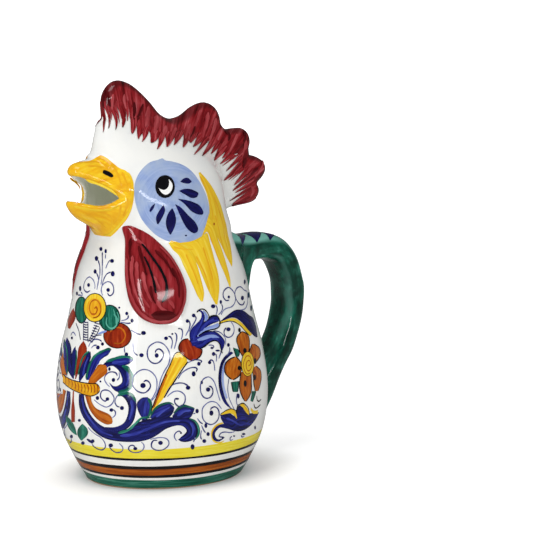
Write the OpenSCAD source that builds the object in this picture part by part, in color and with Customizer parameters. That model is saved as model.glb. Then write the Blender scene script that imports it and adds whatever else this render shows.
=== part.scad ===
// Rooster pitcher in glazed earthenware.
// A thrown body (foot, belly, neck) carries a closed hollow head. The open beak is the spout.
// The comb, the two mandibles, the two wattles and the handle are separate pieces of clay,
// each luted on where it meets the wall.
// Frame: origin at the centre of the foot on the table, +Z up, beak towards -X, handle towards +X.

/* [Body] */
// Height of the thrown body along its axis, from the table to the head's seat
body_h = 166; // [150:1:184]
// Radius of the belly where it is widest
belly_r = 72; // [64:1:80]
// Lean of the body's axis back towards the handle, in degrees
lean = 2; // [0:0.5:4]
// Thickness of the body's wall
wall = 5; // [3.5:0.5:7]
// Thickness of the floor disc
floor_t = 7; // [5:0.5:10]
// Height of the seam between the belly and the neck
belly_h = 112; // [100:1:125]

/* [Head] */
// Height of the head above its seat
head_h = 77; // [68:1:86]
// Thickness of the head's wall
head_wall = 5; // [3.5:0.5:6.5]

/* [Comb] */
// Length of the comb from its front edge to the tip of its tail
comb_len = 131; // [115:1:145]
// Height of the comb's front lobe above the head's seat
comb_h = 104; // [96:1:112]
// How far the comb's front edge lies before the neck's axis
comb_front = 44; // [38:1:48]
// Radius of the comb's rounded edge, half of its thickness there
comb_edge_r = 6; // [4.5:0.5:7.5]
// Half thickness of the comb at its root inside the head
comb_root_r = 13; // [9:0.5:15]

/* [Beak] */
// How far the upper mandible stands out before the face
upper_reach = 24.6; // [20:0.2:30]
// How far the lower mandible stands out before the face
lower_reach = 27.1; // [22:0.1:32]
// Half width of the beak where it is luted on the face
beak_half_w = 31; // [29:0.5:33]
// Height of the top of the beak above the head's seat
beak_h = 58; // [52:1:64]
// Thickness of the mandibles' walls and lips
beak_wall = 4.5; // [3:0.5:5.5]
// Radius of the rolled brow where the upper mandible meets the forehead
brow_r = 2.4; // [1.6:0.2:3.2]

/* [Wattles] */
// Thickness of a wattle's cushion at its middle
wattle_t = 4; // [2.5:0.5:7]
// How much further back the right wattle sits than the left one, in degrees
wattle_skew = 12; // [0:1:15]

/* [Handle] */
// Clear gap for the fingers between the belly and the handle
finger_gap = 29; // [25:1:36]
// Thickness of the handle's strap
handle_t = 17; // [13:0.5:20]
// Width of the handle's strap
handle_w = 29; // [22:1:36]

/* [Smoothness] */
// Segments in the rings of the modelled pieces
ring_fn = 48; // [32:4:64]
// Segments in the balls that round the comb and the handle
ball_fn = 16; // [12:4:24]

/* [Hidden] */

overrun = 4;
least = 0.4;
turned_fn = 160;
glaze_white = "#ecebe6";
crimson = "#8e2430";
beak_yellow = "#edb91f";
handle_green = "#12654f";
foot_green = "#1f6e55";

// Radius of the thrown body along its axis: share of its height, share of the belly's radius
profile_shares = [
    [-0.05, 0.70], [0, 0.735], [0.065, 0.822], [0.19, 0.951], [0.346, 1], [0.517, 0.958],
    [0.663, 0.875], [0.843, 0.785], [0.93, 0.71], [1, 0.665], [1.1, 0.66]
];
// Sections of the head: height share, then centre, half length and half width in neck radii
head_shares = [
    [-0.12, 0, 1, 1], [0, 0, 1, 1], [0.18, -0.05, 0.99, 0.96], [0.31, -0.065, 1, 0.915],
    [0.44, -0.08, 1, 0.84], [0.57, -0.125, 0.965, 0.73], [0.70, -0.205, 0.875, 0.585],
    [0.83, -0.325, 0.715, 0.405], [0.91, -0.42, 0.555, 0.275], [0.96, -0.50, 0.40, 0.17],
    [1, -0.53, 0.17, 0.06]
];
head_steps = 16;
// Centres of the comb's rounded edge: share of its length, share of its height
comb_edge_shares = [
    [0.045, 0.70], [0.05, 0.79], [0.05, 0.885], [0.088, 0.94], [0.135, 0.93], [0.185, 0.89],
    [0.25, 0.815], [0.32, 0.72], [0.405, 0.67], [0.50, 0.685], [0.58, 0.738], [0.632, 0.755],
    [0.665, 0.74], [0.685, 0.705], [0.70, 0.63], [0.755, 0.57], [0.83, 0.567], [0.868, 0.562],
    [0.88, 0.53], [0.87, 0.48], [0.885, 0.40], [0.945, 0.37], [0.977, 0.345], [0.965, 0.317],
    [0.925, 0.274], [0.92, 0.216], [0.93, 0.197], [0.915, 0.18], [0.88, 0.173], [0.82, 0.167],
    [0.76, 0.155], [0.70, 0.145]
];
// The comb's root is drawn in from its edge towards a core in the head by this share
comb_root_share = 0.41;
// The core's place: share of the comb's length from the front, share of its height
comb_core_share = [0.44, 0.28];
// Sections of the mandibles: place, then top, bottom and half width as shares of the beak.
// A place is a share of the mandible's reach before the face, or of the neck's radius behind it.
upper_shares = [
    [-0.311, 0.97, 0.03, 0.925], [-0.165, 0.985, 0.02, 0.925], [-0.084, 0.975, 0.035, 0.85],
    [0, 0.96, 0.07, 0.70], [0.146, 0.945, 0.155, 0.59], [0.382, 0.925, 0.33, 0.47],
    [0.618, 0.907, 0.475, 0.352], [0.823, 0.888, 0.612, 0.243], [0.941, 0.853, 0.715, 0.133],
    [1, 0.82, 0.767, 0.05]
];
lower_shares = [
    [-0.311, 0.89, -0.03, 0.925], [-0.165, 0.92, -0.04, 0.925], [-0.084, 0.90, -0.035, 0.87],
    [0, 0.87, 0.015, 0.73], [0.184, 0.82, 0.107, 0.565], [0.406, 0.76, 0.172, 0.452],
    [0.627, 0.70, 0.233, 0.352], [0.806, 0.63, 0.30, 0.252], [0.945, 0.55, 0.385, 0.133],
    [1, 0.49, 0.42, 0.057]
];
// The lips seen from the side: place along each mandible, height share of the beak
upper_lip_shares = [
    [1.6, 0.80], [0.927, 0.747], [0.793, 0.735], [0.63, 0.70], [0.44, 0.652], [0.19, 0.59],
    [0.04, 0.53]
];
lower_lip_shares = [
    [1.55, 0.46], [0.91, 0.471], [0.764, 0.457], [0.572, 0.43], [0.336, 0.41], [0.142, 0.428]
];
// The corner of the mouth: place along the upper mandible, height share of the beak
mouth_corner_share = [-0.013, 0.483];
// The rolled brow on the forehead: place before the axis and aside in neck radii, height share
brow_shares = [[1, 0.28, 0.84], [1.06, 0.13, 0.93], [1.08, 0, 0.94],
    [1.06, -0.13, 0.93], [1, -0.28, 0.84]];
// Outline of the left wattle: share of a quarter turn from the beak, share of the body's height
wattle_shares = [
    [0.26, 1.056], [0.40, 1.04], [0.55, 0.998], [0.71, 0.916], [0.785, 0.80], [0.72, 0.69],
    [0.60, 0.667], [0.475, 0.687], [0.387, 0.74], [0.34, 0.81], [0.305, 0.90], [0.275, 0.99]
];
wattle_mid_share = [0.55, 0.81];
// Rings of the cushion: share of the outline, share of its thickness
cushion_shares = [[0.33, 0], [0.66, 0], [1, 0], [0.985, 0.33], [0.94, 0.6], [0.87, 0.78],
    [0.74, 0.92], [0.42, 1]];
wattle_steps = 3;
// Middle of the handle's strap: share of its reach, share of the body's height
handle_shares = [
    [0.43, 0.90], [0.52, 0.892], [0.61, 0.888], [0.70, 0.89], [0.78, 0.887], [0.86, 0.87],
    [0.92, 0.837], [0.965, 0.785], [0.995, 0.72], [1, 0.66], [0.99, 0.60], [0.96, 0.53],
    [0.915, 0.465], [0.86, 0.41], [0.795, 0.345], [0.72, 0.26], [0.63, 0.19]
];
// Width and thickness of the strap along it: place along it, share of width, share of thickness
strap_shares = [[0, 1.25, 1.25], [0.12, 1.08, 1.12], [0.28, 1, 1.08], [0.5, 0.98, 0.96],
    [0.75, 0.95, 0.93], [0.9, 0.85, 0.88], [1, 0.65, 0.7]];
strap_steps = 26;

function tangent(t, i) = let(
        a = max(i - 1, 0),
        b = min(i + 1, len(t) - 1)
    ) (t[b][1] - t[a][1]) / (t[b][0] - t[a][0]);
function span_of(t, x, i = 0) = i >= len(t) - 2 || x < t[i + 1][0] ? i : span_of(t, x, i + 1);
function hermite(t, i, x) = let(
        w = t[i + 1][0] - t[i][0],
        u = (x - t[i][0]) / w,
        v = 1 - u
    ) t[i][1] * (1 + 2 * u) * v * v + tangent(t, i) * w * u * v * v
        + t[i + 1][1] * (3 - 2 * u) * u * u - tangent(t, i + 1) * w * u * u * v;
function curve_at(t, x) = hermite(t, span_of(t, x), x);
function column(t, k) = [for (row = t) [row[0], row[k]]];
// A point on the smooth closed or open curve through the points p, at place x counted in points
function through(p, x, closed = false) = let(
        n = len(p),
        i = closed ? floor(x) : min(floor(x), n - 2),
        u = x - i,
        at = function (k) closed ? p[(k + n) % n] : p[max(0, min(n - 1, k))],
        m0 = (at(i + 1) - at(i - 1)) / 2,
        m1 = (at(i + 2) - at(i)) / 2
    ) at(i) * (1 + 2 * u) * pow(1 - u, 2) + m0 * u * pow(1 - u, 2)
        + at(i + 1) * (3 - 2 * u) * u * u - m1 * u * u * (1 - u);

function body_r(h) = belly_r * curve_at(profile_shares, h / body_h);
neck_x = body_h * sin(lean);
neck_z = body_h * cos(lean);
neck_r = body_r(body_h);
handle_reach = belly_r + finger_gap + handle_t / 2;
far = 3 * (body_h + belly_r);

module leaned() {
    rotate([0, lean, 0]) children();
}

// Everything that the thrown body's outside encloses between two heights along its axis
module turned(h0, h1, steps) {
    rise = (h1 - h0) / steps;
    rotate_extrude($fn = turned_fn)
        polygon(concat([[0, h0]], [for (i = [0:steps]) [body_r(h0 + i * rise), h0 + i * rise]],
            [[0, h1]]));
}

module turned_wall(h0, h1, steps) {
    rise = (h1 - h0) / steps;
    rotate_extrude($fn = turned_fn)
        polygon(concat([for (i = [0:steps]) [body_r(h0 + i * rise), h0 + i * rise]],
            [for (i = [steps:-1:0]) [body_r(h0 + i * rise) - wall, h0 + i * rise]]));
}

module body_solid() {
    leaned() turned(-overrun, body_h, 22);
}

// The space below the plane that the head sits on
module below_seat() {
    leaned() translate([0, 0, body_h - far]) cylinder(h = far, r = far, $fn = 8);
}

function ellipse_turn(k) = 360 * k / ring_fn;
function head_ring(share, inset) = let(
        middle = neck_x + neck_r * curve_at(column(head_shares, 1), share),
        half_l = max(least, neck_r * curve_at(column(head_shares, 2), share) - inset),
        half_w = max(least, neck_r * curve_at(column(head_shares, 3), share) - inset),
        height = neck_z + (head_h - inset) * share
    ) [for (k = [0:ring_fn - 1])
        [middle + half_l * cos(ellipse_turn(k)), half_w * sin(ellipse_turn(k)), height]];

// The solid between two rings of points, which both bulge outwards everywhere
module between(a, b) {
    points = concat(a, b);
    hull() polyhedron(points = points, faces = [for (k = [1:len(points) - 2]) [0, k, k + 1]]);
}

module head_solid(inset = 0) {
    start = head_shares[0][0];
    step = (1 - start) / head_steps;
    for (i = [0:head_steps - 1])
        between(head_ring(start + i * step, inset), head_ring(start + (i + 1) * step, inset));
}

function beak_x(reach, place) = neck_x - neck_r - place * (place < 0 ? neck_r : reach);
function beak_half_h(row, inset) = beak_h * (row[1] - row[2]) / 2 - inset;
function beak_ring(reach, row, inset, back = 0) = let(
        half_h = beak_half_h(row, inset),
        half_w = beak_half_w * row[3] - inset
    ) [for (k = [0:ring_fn - 1])
        [beak_x(reach, row[0]) + back, half_w * sin(ellipse_turn(k)),
            neck_z + beak_h * (row[1] + row[2]) / 2 + half_h * cos(ellipse_turn(k))]];

module mandible_solid(reach, rows, inset = 0) {
    for (i = [0:len(rows) - 2])
        if (min(beak_half_h(rows[i + 1], inset), beak_half_w * rows[i + 1][3] - inset) > least)
            between(beak_ring(reach, rows[i], inset), beak_ring(reach, rows[i + 1], inset));
}

// The pouring way inside the beak, run back through the head's wall
module mouth_way() {
    mandible_solid(upper_reach, upper_shares, beak_wall);
    mandible_solid(lower_reach, lower_shares, beak_wall);
    between(beak_ring(upper_reach, upper_shares[0], beak_wall),
        beak_ring(upper_reach, upper_shares[0], beak_wall + head_wall, 2 * head_wall));
}

function lip_points(reach, rows) = [for (row = rows) [beak_x(reach, row[0]),
    neck_z + beak_h * row[1]]];

// What the lips leave out: below the upper lip for side -1, above the lower lip for side 1
module past_lip(reach, rows, side) {
    corner = lip_points(upper_reach, [mouth_corner_share])[0];
    tip = lip_points(reach, rows)[0];
    rotate([90, 0, 0]) linear_extrude(height = 4 * beak_half_w, center = true)
        polygon(concat(lip_points(reach, rows), [corner, [neck_x, corner[1]],
            [neck_x, corner[1] + side * 2 * beak_h], [tip[0], corner[1] + side * 2 * beak_h]]));
}

module brow_ball(row) {
    translate([neck_x - neck_r * row[0], neck_r * row[1], neck_z + beak_h * row[2]])
        sphere(r = brow_r, $fn = ball_fn);
}

module brow() {
    for (i = [0:len(brow_shares) - 2])
        hull() {
            brow_ball(brow_shares[i]);
            brow_ball(brow_shares[i + 1]);
        }
}

function comb_place(share) = [neck_x - comb_front + comb_len * share[0], 0, neck_z + comb_h * share[1]];
function comb_edge(i) = comb_place(comb_edge_shares[i]);
function comb_root(i) = comb_place(comb_core_share)
    + comb_root_share * (comb_edge(i) - comb_place(comb_core_share));

module ball_at(place, r) {
    translate(place) sphere(r = r, $fn = ball_fn);
}

module comb_solid() {
    for (i = [0:len(comb_edge_shares) - 2])
        hull()
            for (k = [i, i + 1]) {
                ball_at(comb_edge(k), comb_edge_r);
                ball_at(comb_root(k), comb_root_r);
            }
}

// A place on the body's outside, turned from the beak towards one side, raised outwards
function on_body(share, side, raise) = let(
        r = body_r(share[1] * body_h) + raise,
        turn = 90 * share[0] + (side < 0 ? wattle_skew : 0)
    ) [-r * cos(turn), -side * r * sin(turn), share[1] * body_h];

// A cushion on the body inside the wattle's outline; side is 1 on the left and -1 on the right
module wattle(side) {
    n = len(wattle_shares) * wattle_steps;
    rings = [for (row = cushion_shares) [for (k = [0:n - 1])
        on_body(wattle_mid_share + row[0]
            * (through(wattle_shares, k / wattle_steps, true) - wattle_mid_share),
            side, wattle_t * row[1])]];
    count = len(rings);
    points = concat([for (ring = rings) each ring],
        [on_body(wattle_mid_share, side, 0), on_body(wattle_mid_share, side, wattle_t)]);
    sides = [for (i = [0:count - 2]) for (k = [0:n - 1]) let(m = (k + 1) % n)
        each [[i * n + k, i * n + m, (i + 1) * n + m], [i * n + k, (i + 1) * n + m, (i + 1) * n + k]]];
    caps = [for (k = [0:n - 1]) let(m = (k + 1) % n)
        each [[count * n, m, k], [count * n + 1, (count - 1) * n + k, (count - 1) * n + m]]];
    leaned() polyhedron(points = points,
        faces = [for (f = concat(sides, caps)) side > 0 ? f : [f[2], f[1], f[0]]]);
}

function handle_place(x) = let(p = through(handle_shares, x))
    [neck_x * p[1] + handle_reach * p[0], 0, body_h * p[1]];

module strap_section(along) {
    t = handle_t * curve_at(column(strap_shares, 2), along);
    w = handle_w * curve_at(column(strap_shares, 1), along);
    for (s = [-1, 1])
        translate(handle_place(along * (len(handle_shares) - 1)) + [0, s * (w - t) / 2, 0])
            sphere(r = t / 2, $fn = ball_fn);
}

module handle_solid() {
    for (i = [0:strap_steps - 1])
        hull() {
            strap_section(i / strap_steps);
            strap_section((i + 1) / strap_steps);
        }
}

module foot() {
    color(foot_green)
        difference() {
            leaned() turned(-overrun, floor_t, 3);
            translate([0, 0, -far]) cylinder(h = far, r = far);
        }
}

module belly_wall() {
    color(glaze_white) leaned() turned_wall(floor_t, belly_h, 16);
}

module neck_wall() {
    color(glaze_white) leaned() turned_wall(belly_h, body_h, 9);
}

module head_shell() {
    color(glaze_white)
        difference() {
            head_solid();
            head_solid(head_wall);
            mouth_way();
            below_seat();
        }
}

module comb() {
    color(crimson)
        difference() {
            comb_solid();
            head_solid();
        }
}

module upper_beak() {
    color(beak_yellow)
        difference() {
            union() {
                mandible_solid(upper_reach, upper_shares);
                brow();
            }
            mouth_way();
            past_lip(upper_reach, upper_lip_shares, -1);
            head_solid();
        }
}

module lower_beak() {
    color(beak_yellow)
        difference() {
            mandible_solid(lower_reach, lower_shares);
            mouth_way();
            past_lip(lower_reach, lower_lip_shares, 1);
            head_solid();
            body_solid();
        }
}

module left_wattle() {
    color(crimson) wattle(1);
}

module right_wattle() {
    color(crimson) wattle(-1);
}

module handle() {
    color(handle_green)
        difference() {
            handle_solid();
            body_solid();
            head_solid();
        }
}

foot();
belly_wall();
neck_wall();
head_shell();
comb();
upper_beak();
lower_beak();
left_wattle();
right_wattle();
handle();
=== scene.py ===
# Rooster pitcher: the glazed and painted look, laid over the CAD frame.
# Lengths are in millimetres until a mesh is made, in the frame's axes: beak towards -X, +Z up.
import math

import bpy
import numpy as np
from mathutils import Matrix, Vector


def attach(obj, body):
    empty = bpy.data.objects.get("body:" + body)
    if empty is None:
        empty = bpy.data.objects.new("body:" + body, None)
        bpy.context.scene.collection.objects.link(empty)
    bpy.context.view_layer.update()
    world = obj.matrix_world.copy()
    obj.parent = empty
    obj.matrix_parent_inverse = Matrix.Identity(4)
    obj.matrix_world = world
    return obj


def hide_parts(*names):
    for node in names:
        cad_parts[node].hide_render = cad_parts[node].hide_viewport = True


MM = 0.001
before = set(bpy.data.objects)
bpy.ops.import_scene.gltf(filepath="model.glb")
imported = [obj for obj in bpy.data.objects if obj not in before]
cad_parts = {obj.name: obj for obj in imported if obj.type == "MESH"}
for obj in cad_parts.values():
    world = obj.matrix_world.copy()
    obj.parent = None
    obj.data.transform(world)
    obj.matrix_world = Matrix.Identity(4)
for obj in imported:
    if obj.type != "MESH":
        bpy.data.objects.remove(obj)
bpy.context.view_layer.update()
rng = np.random.default_rng(7)


# Sizes repeated from the part's source
BODY_H, BELLY_R, WALL, FLOOR_T, BELLY_H = 166.0, 72.0, 5.0, 7.0, 112.0
LEAN = math.radians(2.0)
HEAD_H, HEAD_WALL = 77.0, 5.0
COMB_LEN, COMB_H, COMB_FRONT, COMB_EDGE_R, COMB_ROOT_R = 131.0, 104.0, 44.0, 6.0, 13.0
UPPER_REACH, LOWER_REACH, BEAK_HALF_W, BEAK_H, BEAK_WALL, BROW_R = 72.5, 75.0, 31.0, 58.0, 4.2, 2.4
WATTLE_T, WATTLE_SKEW = 4.0, 12.0
FINGER_GAP, HANDLE_T, HANDLE_W = 29.0, 17.0, 29.0

# Radius of the thrown body: share of its height, share of the belly's radius
PROFILE = [
    [-0.05, 0.70], [0, 0.735], [0.065, 0.822], [0.19, 0.951], [0.346, 1], [0.517, 0.958],
    [0.663, 0.875], [0.843, 0.785], [0.93, 0.71], [1, 0.665], [1.1, 0.66]]
# Sections of the head: height share, then centre, half length and half width in neck radii
HEAD = [
    [-0.12, 0, 1, 1], [0, 0, 1, 1], [0.18, -0.05, 0.99, 0.96], [0.31, -0.065, 1, 0.915],
    [0.44, -0.08, 1, 0.84], [0.57, -0.125, 0.965, 0.73], [0.70, -0.205, 0.875, 0.585],
    [0.83, -0.325, 0.715, 0.405], [0.91, -0.42, 0.555, 0.275], [0.96, -0.50, 0.40, 0.17],
    [1, -0.53, 0.17, 0.06], [1.02, -0.535, 0.01, 0.01]]
# Middle of the comb's rounded edge: share of its length, share of its height
COMB_EDGE = [
    [0.045, 0.70], [0.05, 0.79], [0.05, 0.885], [0.088, 0.94], [0.135, 0.93], [0.185, 0.89],
    [0.25, 0.815], [0.32, 0.72], [0.405, 0.67], [0.50, 0.685], [0.58, 0.738], [0.632, 0.755],
    [0.665, 0.74], [0.685, 0.705], [0.70, 0.63], [0.755, 0.57], [0.83, 0.567], [0.868, 0.562],
    [0.88, 0.53], [0.87, 0.48], [0.885, 0.40], [0.945, 0.37], [0.977, 0.345], [0.965, 0.317],
    [0.925, 0.274], [0.92, 0.216], [0.93, 0.197], [0.915, 0.18], [0.88, 0.173], [0.82, 0.167],
    [0.76, 0.155], [0.70, 0.145]]
# Sections of the mandibles: share of the reach, then top, bottom and half width as shares of the beak
UPPER = [
    [0.455, 0.97, 0.03, 0.925], [0.552, 0.985, 0.02, 0.925], [0.605, 0.975, 0.035, 0.85],
    [0.66, 0.96, 0.07, 0.70], [0.71, 0.945, 0.155, 0.59], [0.79, 0.925, 0.33, 0.47],
    [0.87, 0.907, 0.475, 0.352], [0.94, 0.888, 0.612, 0.243], [0.98, 0.853, 0.715, 0.133],
    [1, 0.80, 0.767, 0.02]]
LOWER = [
    [0.44, 0.89, -0.06, 0.925], [0.533, 0.92, -0.07, 0.925], [0.585, 0.90, -0.055, 0.87],
    [0.64, 0.87, 0.015, 0.73], [0.705, 0.82, 0.107, 0.565], [0.785, 0.76, 0.172, 0.452],
    [0.865, 0.70, 0.233, 0.352], [0.93, 0.63, 0.30, 0.252], [0.98, 0.55, 0.385, 0.133],
    [1, 0.47, 0.43, 0.02]]
# The lips seen from the side: share of the reach, height share of the beak
UPPER_LIP = [[0.652, 0.483], [0.675, 0.53], [0.725, 0.59], [0.81, 0.652], [0.875, 0.70],
    [0.93, 0.735], [0.975, 0.747], [1.2, 0.80]]
LOWER_LIP = [[0.63, 0.483], [0.69, 0.428], [0.76, 0.41], [0.845, 0.43], [0.915, 0.457],
    [0.968, 0.471], [1.2, 0.46]]
MOUTH_CORNER = [0.652, 0.483]
# The rolled brow: places forwards and sideways in neck radii, height share of the beak
BROW = [[1, 0.28, 0.84], [1.06, 0.13, 0.93], [1.08, 0, 0.94]]
# A wattle's outline: quarter turns from the beak, height share of the body
WATTLE = [
    [0.26, 1.056], [0.40, 1.04], [0.55, 0.998], [0.71, 0.916], [0.785, 0.80], [0.72, 0.69],
    [0.60, 0.667], [0.475, 0.687], [0.387, 0.74], [0.34, 0.81], [0.305, 0.90], [0.275, 0.99]]
WATTLE_MID = [0.55, 0.81]
# The handle's middle line: share of its reach, height share of the body
HANDLE = [
    [0.43, 0.90], [0.52, 0.892], [0.61, 0.888], [0.70, 0.89], [0.78, 0.887], [0.86, 0.87],
    [0.92, 0.837], [0.965, 0.785], [0.995, 0.72], [1, 0.66], [0.99, 0.60], [0.96, 0.53],
    [0.915, 0.465], [0.86, 0.41], [0.795, 0.345], [0.72, 0.26], [0.63, 0.19]]
# The strap's section: share of its length, then width and thickness as shares of its own
STRAP = [[0, 1.25, 1.25], [0.12, 1.08, 1.12], [0.28, 1, 1.08], [0.5, 0.98, 0.96],
    [0.75, 0.95, 0.93], [0.9, 0.85, 0.88], [1, 0.65, 0.7]]


def curve(rows, x, k=1):
    """The smooth curve through column k of a table, at x."""
    t = np.array(rows, float)
    xs, ys = t[:, 0], t[:, k]
    n = len(xs)
    before = np.maximum(np.arange(n) - 1, 0)
    after = np.minimum(np.arange(n) + 1, n - 1)
    m = (ys[after] - ys[before]) / (xs[after] - xs[before])
    i = np.clip(np.searchsorted(xs, x, side="right") - 1, 0, n - 2)
    w = xs[i + 1] - xs[i]
    u = np.clip((x - xs[i]) / w, 0, 1)
    v = 1 - u
    return (ys[i] * (1 + 2 * u) * v * v + m[i] * w * u * v * v
            + ys[i + 1] * (3 - 2 * u) * u * u - m[i + 1] * w * u * u * v)


def through(points, count, closed=False):
    """A smooth curve through a few points, resampled to count points."""
    p = np.array(points, float)
    n = len(p)
    if n == 2 and not closed:
        return p[0] + (p[1] - p[0]) * np.linspace(0, 1, count)[:, None]
    x = np.linspace(0, n if closed else n - 1, count, endpoint=not closed)
    i = np.floor(x).astype(int)
    if not closed:
        i = np.minimum(i, n - 2)
    u = (x - i)[:, None]

    def at(k):
        return p[k % n] if closed else p[np.clip(k, 0, n - 1)]

    m0 = (at(i + 1) - at(i - 1)) / 2
    m1 = (at(i + 2) - at(i)) / 2
    return (at(i) * (1 + 2 * u) * (1 - u) ** 2 + m0 * u * (1 - u) ** 2
            + at(i + 1) * (3 - 2 * u) * u * u - m1 * u * u * (1 - u))


def pairs(flat):
    """Places of which a list gives x and y in turn."""
    return np.array(flat, float).reshape(-1, 2)


def steps(path):
    """The lengths from each point of a path to the next."""
    return np.linalg.norm(np.diff(path, axis=0), axis=1)


def smoothstep(a, b, x):
    u = np.clip((x - a) / (b - a), 0, 1)
    return u * u * (3 - 2 * u)


def join(a, b, k):
    """The smooth union of two fields with a fillet of about k."""
    h = np.clip(0.5 + 0.5 * (b - a) / k, 0, 1)
    return b + (a - b) * h - k * h * (1 - h)


def meet(a, b, k):
    return -join(-a, -b, k)


def unit(v):
    return v / np.maximum(np.linalg.norm(v, axis=-1), 1e-12)[..., None]


def body_r(h):
    return BELLY_R * curve(PROFILE, h / BODY_H)


LEAN_SIN, LEAN_COS = math.sin(LEAN), math.cos(LEAN)


def to_axis(p):
    """How far points lie behind the body's leaning axis, and how high along it."""
    return p[:, 0] * LEAN_COS - p[:, 2] * LEAN_SIN, p[:, 0] * LEAN_SIN + p[:, 2] * LEAN_COS


def from_axis(across, y, h):
    """The places that to_axis measures."""
    return np.stack([across * LEAN_COS + h * LEAN_SIN, y, -across * LEAN_SIN + h * LEAN_COS], -1)


NECK_X, NECK_Z = BODY_H * LEAN_SIN, BODY_H * LEAN_COS
NECK_R = float(body_r(BODY_H))
HANDLE_REACH = BELLY_R + FINGER_GAP + HANDLE_T / 2
CROWN_Z = NECK_Z + HEAD_H * HEAD[-1][0]


# Fields: about the distance from the surface, negative inside
def ellipse_field(dx, dy, a, b):
    """About the distance from an ellipse with the half axes a and b."""
    u, v = dx / a, dy / b
    f = np.sqrt(u * u + v * v) + 1e-6
    return (f - 1) * f / (np.sqrt((u / a) ** 2 + (v / b) ** 2) + 1e-6)


def body_field(p):
    """The thrown body, without an end."""
    across, h = to_axis(p)
    return (np.hypot(across, p[:, 1]) - body_r(h)) * 0.95


def head_section(x, y, z):
    """The head's outline at the height z."""
    share = (z - NECK_Z) / HEAD_H
    a = np.maximum(NECK_R * curve(HEAD, share, 2), 0.3)
    b = np.maximum(NECK_R * curve(HEAD, share, 3), 0.3)
    return ellipse_field(x - NECK_X - NECK_R * curve(HEAD, share, 1), y, a, b)


def head_field(p):
    """The head, closed at its crown."""
    x, y, z = p.T
    d = head_section(x, y, z)
    slope = np.clip(head_section(x, y, z + 0.5) - head_section(x, y, z - 0.5), -1.5, 1.5)
    d = d / np.sqrt(1 + slope * slope)
    over = np.maximum(z - CROWN_Z, 0)
    return np.where(over > 0, np.hypot(np.maximum(d, 0), over), d)


# Between these heights the neck turns into the head
BLEND_LOW_Z, BLEND_HIGH_Z = 158, 176


def tube_field(p):
    """The thrown neck running smoothly into the head."""
    w = smoothstep(BLEND_LOW_Z, BLEND_HIGH_Z, p[:, 2])
    d = body_field(p)
    near = w > 0
    d[near] = d[near] * (1 - w[near]) + head_field(p[near]) * w[near]
    return d


def comb_place(share):
    """Places in the pitcher's middle plane from shares of the comb's length and height."""
    s = np.array(share, float)
    return np.stack([NECK_X - COMB_FRONT + COMB_LEN * s[..., 0], NECK_Z + COMB_H * s[..., 1]], -1)


def polygon_distance(q, loop):
    """Signed distance of points to a closed outline, positive inside."""
    a, b = loop, np.roll(loop, -1, 0)
    best = np.full(len(q), 1e9)
    inside = np.zeros(len(q), bool)
    for p0, p1 in zip(a, b):
        e = p1 - p0
        w = q - p0
        t = np.clip((w @ e) / max(e @ e, 1e-12), 0, 1)
        d = w - t[:, None] * e
        best = np.minimum(best, (d * d).sum(1))
        over = (p0[1] > q[:, 1]) != (p1[1] > q[:, 1])
        if abs(e[1]) > 1e-12:
            inside ^= over & (q[:, 0] < p0[0] + e[0] * (q[:, 1] - p0[1]) / e[1])
    return np.sqrt(best) * np.where(inside, 1, -1)


class Plane:
    """A field over a plane, kept on a fine lattice."""

    def __init__(self, low, high, step, make):
        self.low, self.step = np.array(low, float), step
        n = np.ceil((np.array(high) - self.low) / step).astype(int) + 1
        i, j = np.meshgrid(np.arange(n[0]), np.arange(n[1]), indexing="ij")
        v = make(self.low + step * np.stack([i.ravel(), j.ravel()], 1)).reshape(n)
        for _ in range(2):
            v[1:-1, 1:-1] = (4 * v[1:-1, 1:-1] + v[:-2, 1:-1] + v[2:, 1:-1] + v[1:-1, :-2] + v[1:-1, 2:]) / 8
        self.v = v

    def __call__(self, x, y):
        u = np.clip((x - self.low[0]) / self.step, 0, self.v.shape[0] - 1.001)
        w = np.clip((y - self.low[1]) / self.step, 0, self.v.shape[1] - 1.001)
        i, j = u.astype(int), w.astype(int)
        s, t = u - i, w - j
        v = self.v
        return ((v[i, j] * (1 - s) + v[i + 1, j] * s) * (1 - t)
                + (v[i, j + 1] * (1 - s) + v[i + 1, j + 1] * s) * t)


# Box round the comb in the pitcher's middle plane, and the lattice's step
COMB_LOW, COMB_HIGH, COMB_STEP = (-60, 150), (115, 285), 0.5
comb_loop = np.concatenate([through(comb_place(COMB_EDGE), 249), comb_place([[0.45, 0.3]])])
comb_plane = Plane(COMB_LOW, COMB_HIGH, COMB_STEP, lambda q: polygon_distance(q, comb_loop))


# How strongly and after how many millimetres the comb thickens from its rounded edge inwards
COMB_SWELL, COMB_SLOW = 0.16, 5


def comb_field(p):
    x, y, z = p.T
    depth = comb_plane(x, z)
    inside = np.maximum(depth, 0)
    half = np.minimum(COMB_EDGE_R + COMB_SWELL * inside * inside / (inside + COMB_SLOW), COMB_ROOT_R)
    return np.where(depth < 0, np.hypot(depth, y) - COMB_EDGE_R, np.abs(y) - half)


def mandible_section(x, y, z, reach, rows):
    """A mandible's outline at x."""
    s = (NECK_X - x) / reach
    top, low = curve(rows, s, 1), curve(rows, s, 2)
    half_w = np.maximum(BEAK_HALF_W * curve(rows, s, 3), 0.4)
    half_h = np.maximum(BEAK_H * (top - low) / 2, 0.4)
    return ellipse_field(y, z - NECK_Z - BEAK_H * (top + low) / 2, half_w, half_h)


def mandible_field(p, reach, rows):
    """A mandible, closed at its tip."""
    x, y, z = p.T
    d = mandible_section(x, y, z, reach, rows)
    slope = mandible_section(x + 0.5, y, z, reach, rows) - mandible_section(x - 0.5, y, z, reach, rows)
    d = d / np.sqrt(1 + slope * slope)
    over = np.maximum(NECK_X - reach - x, 0)
    return np.where(over > 0, np.hypot(np.maximum(d, 0), over), d)


# The mouth's field rises a little slower than the distance from its lips and from its corner
LIP_SLOPE, CORNER_SLOPE = 0.92, 0.8


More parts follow.
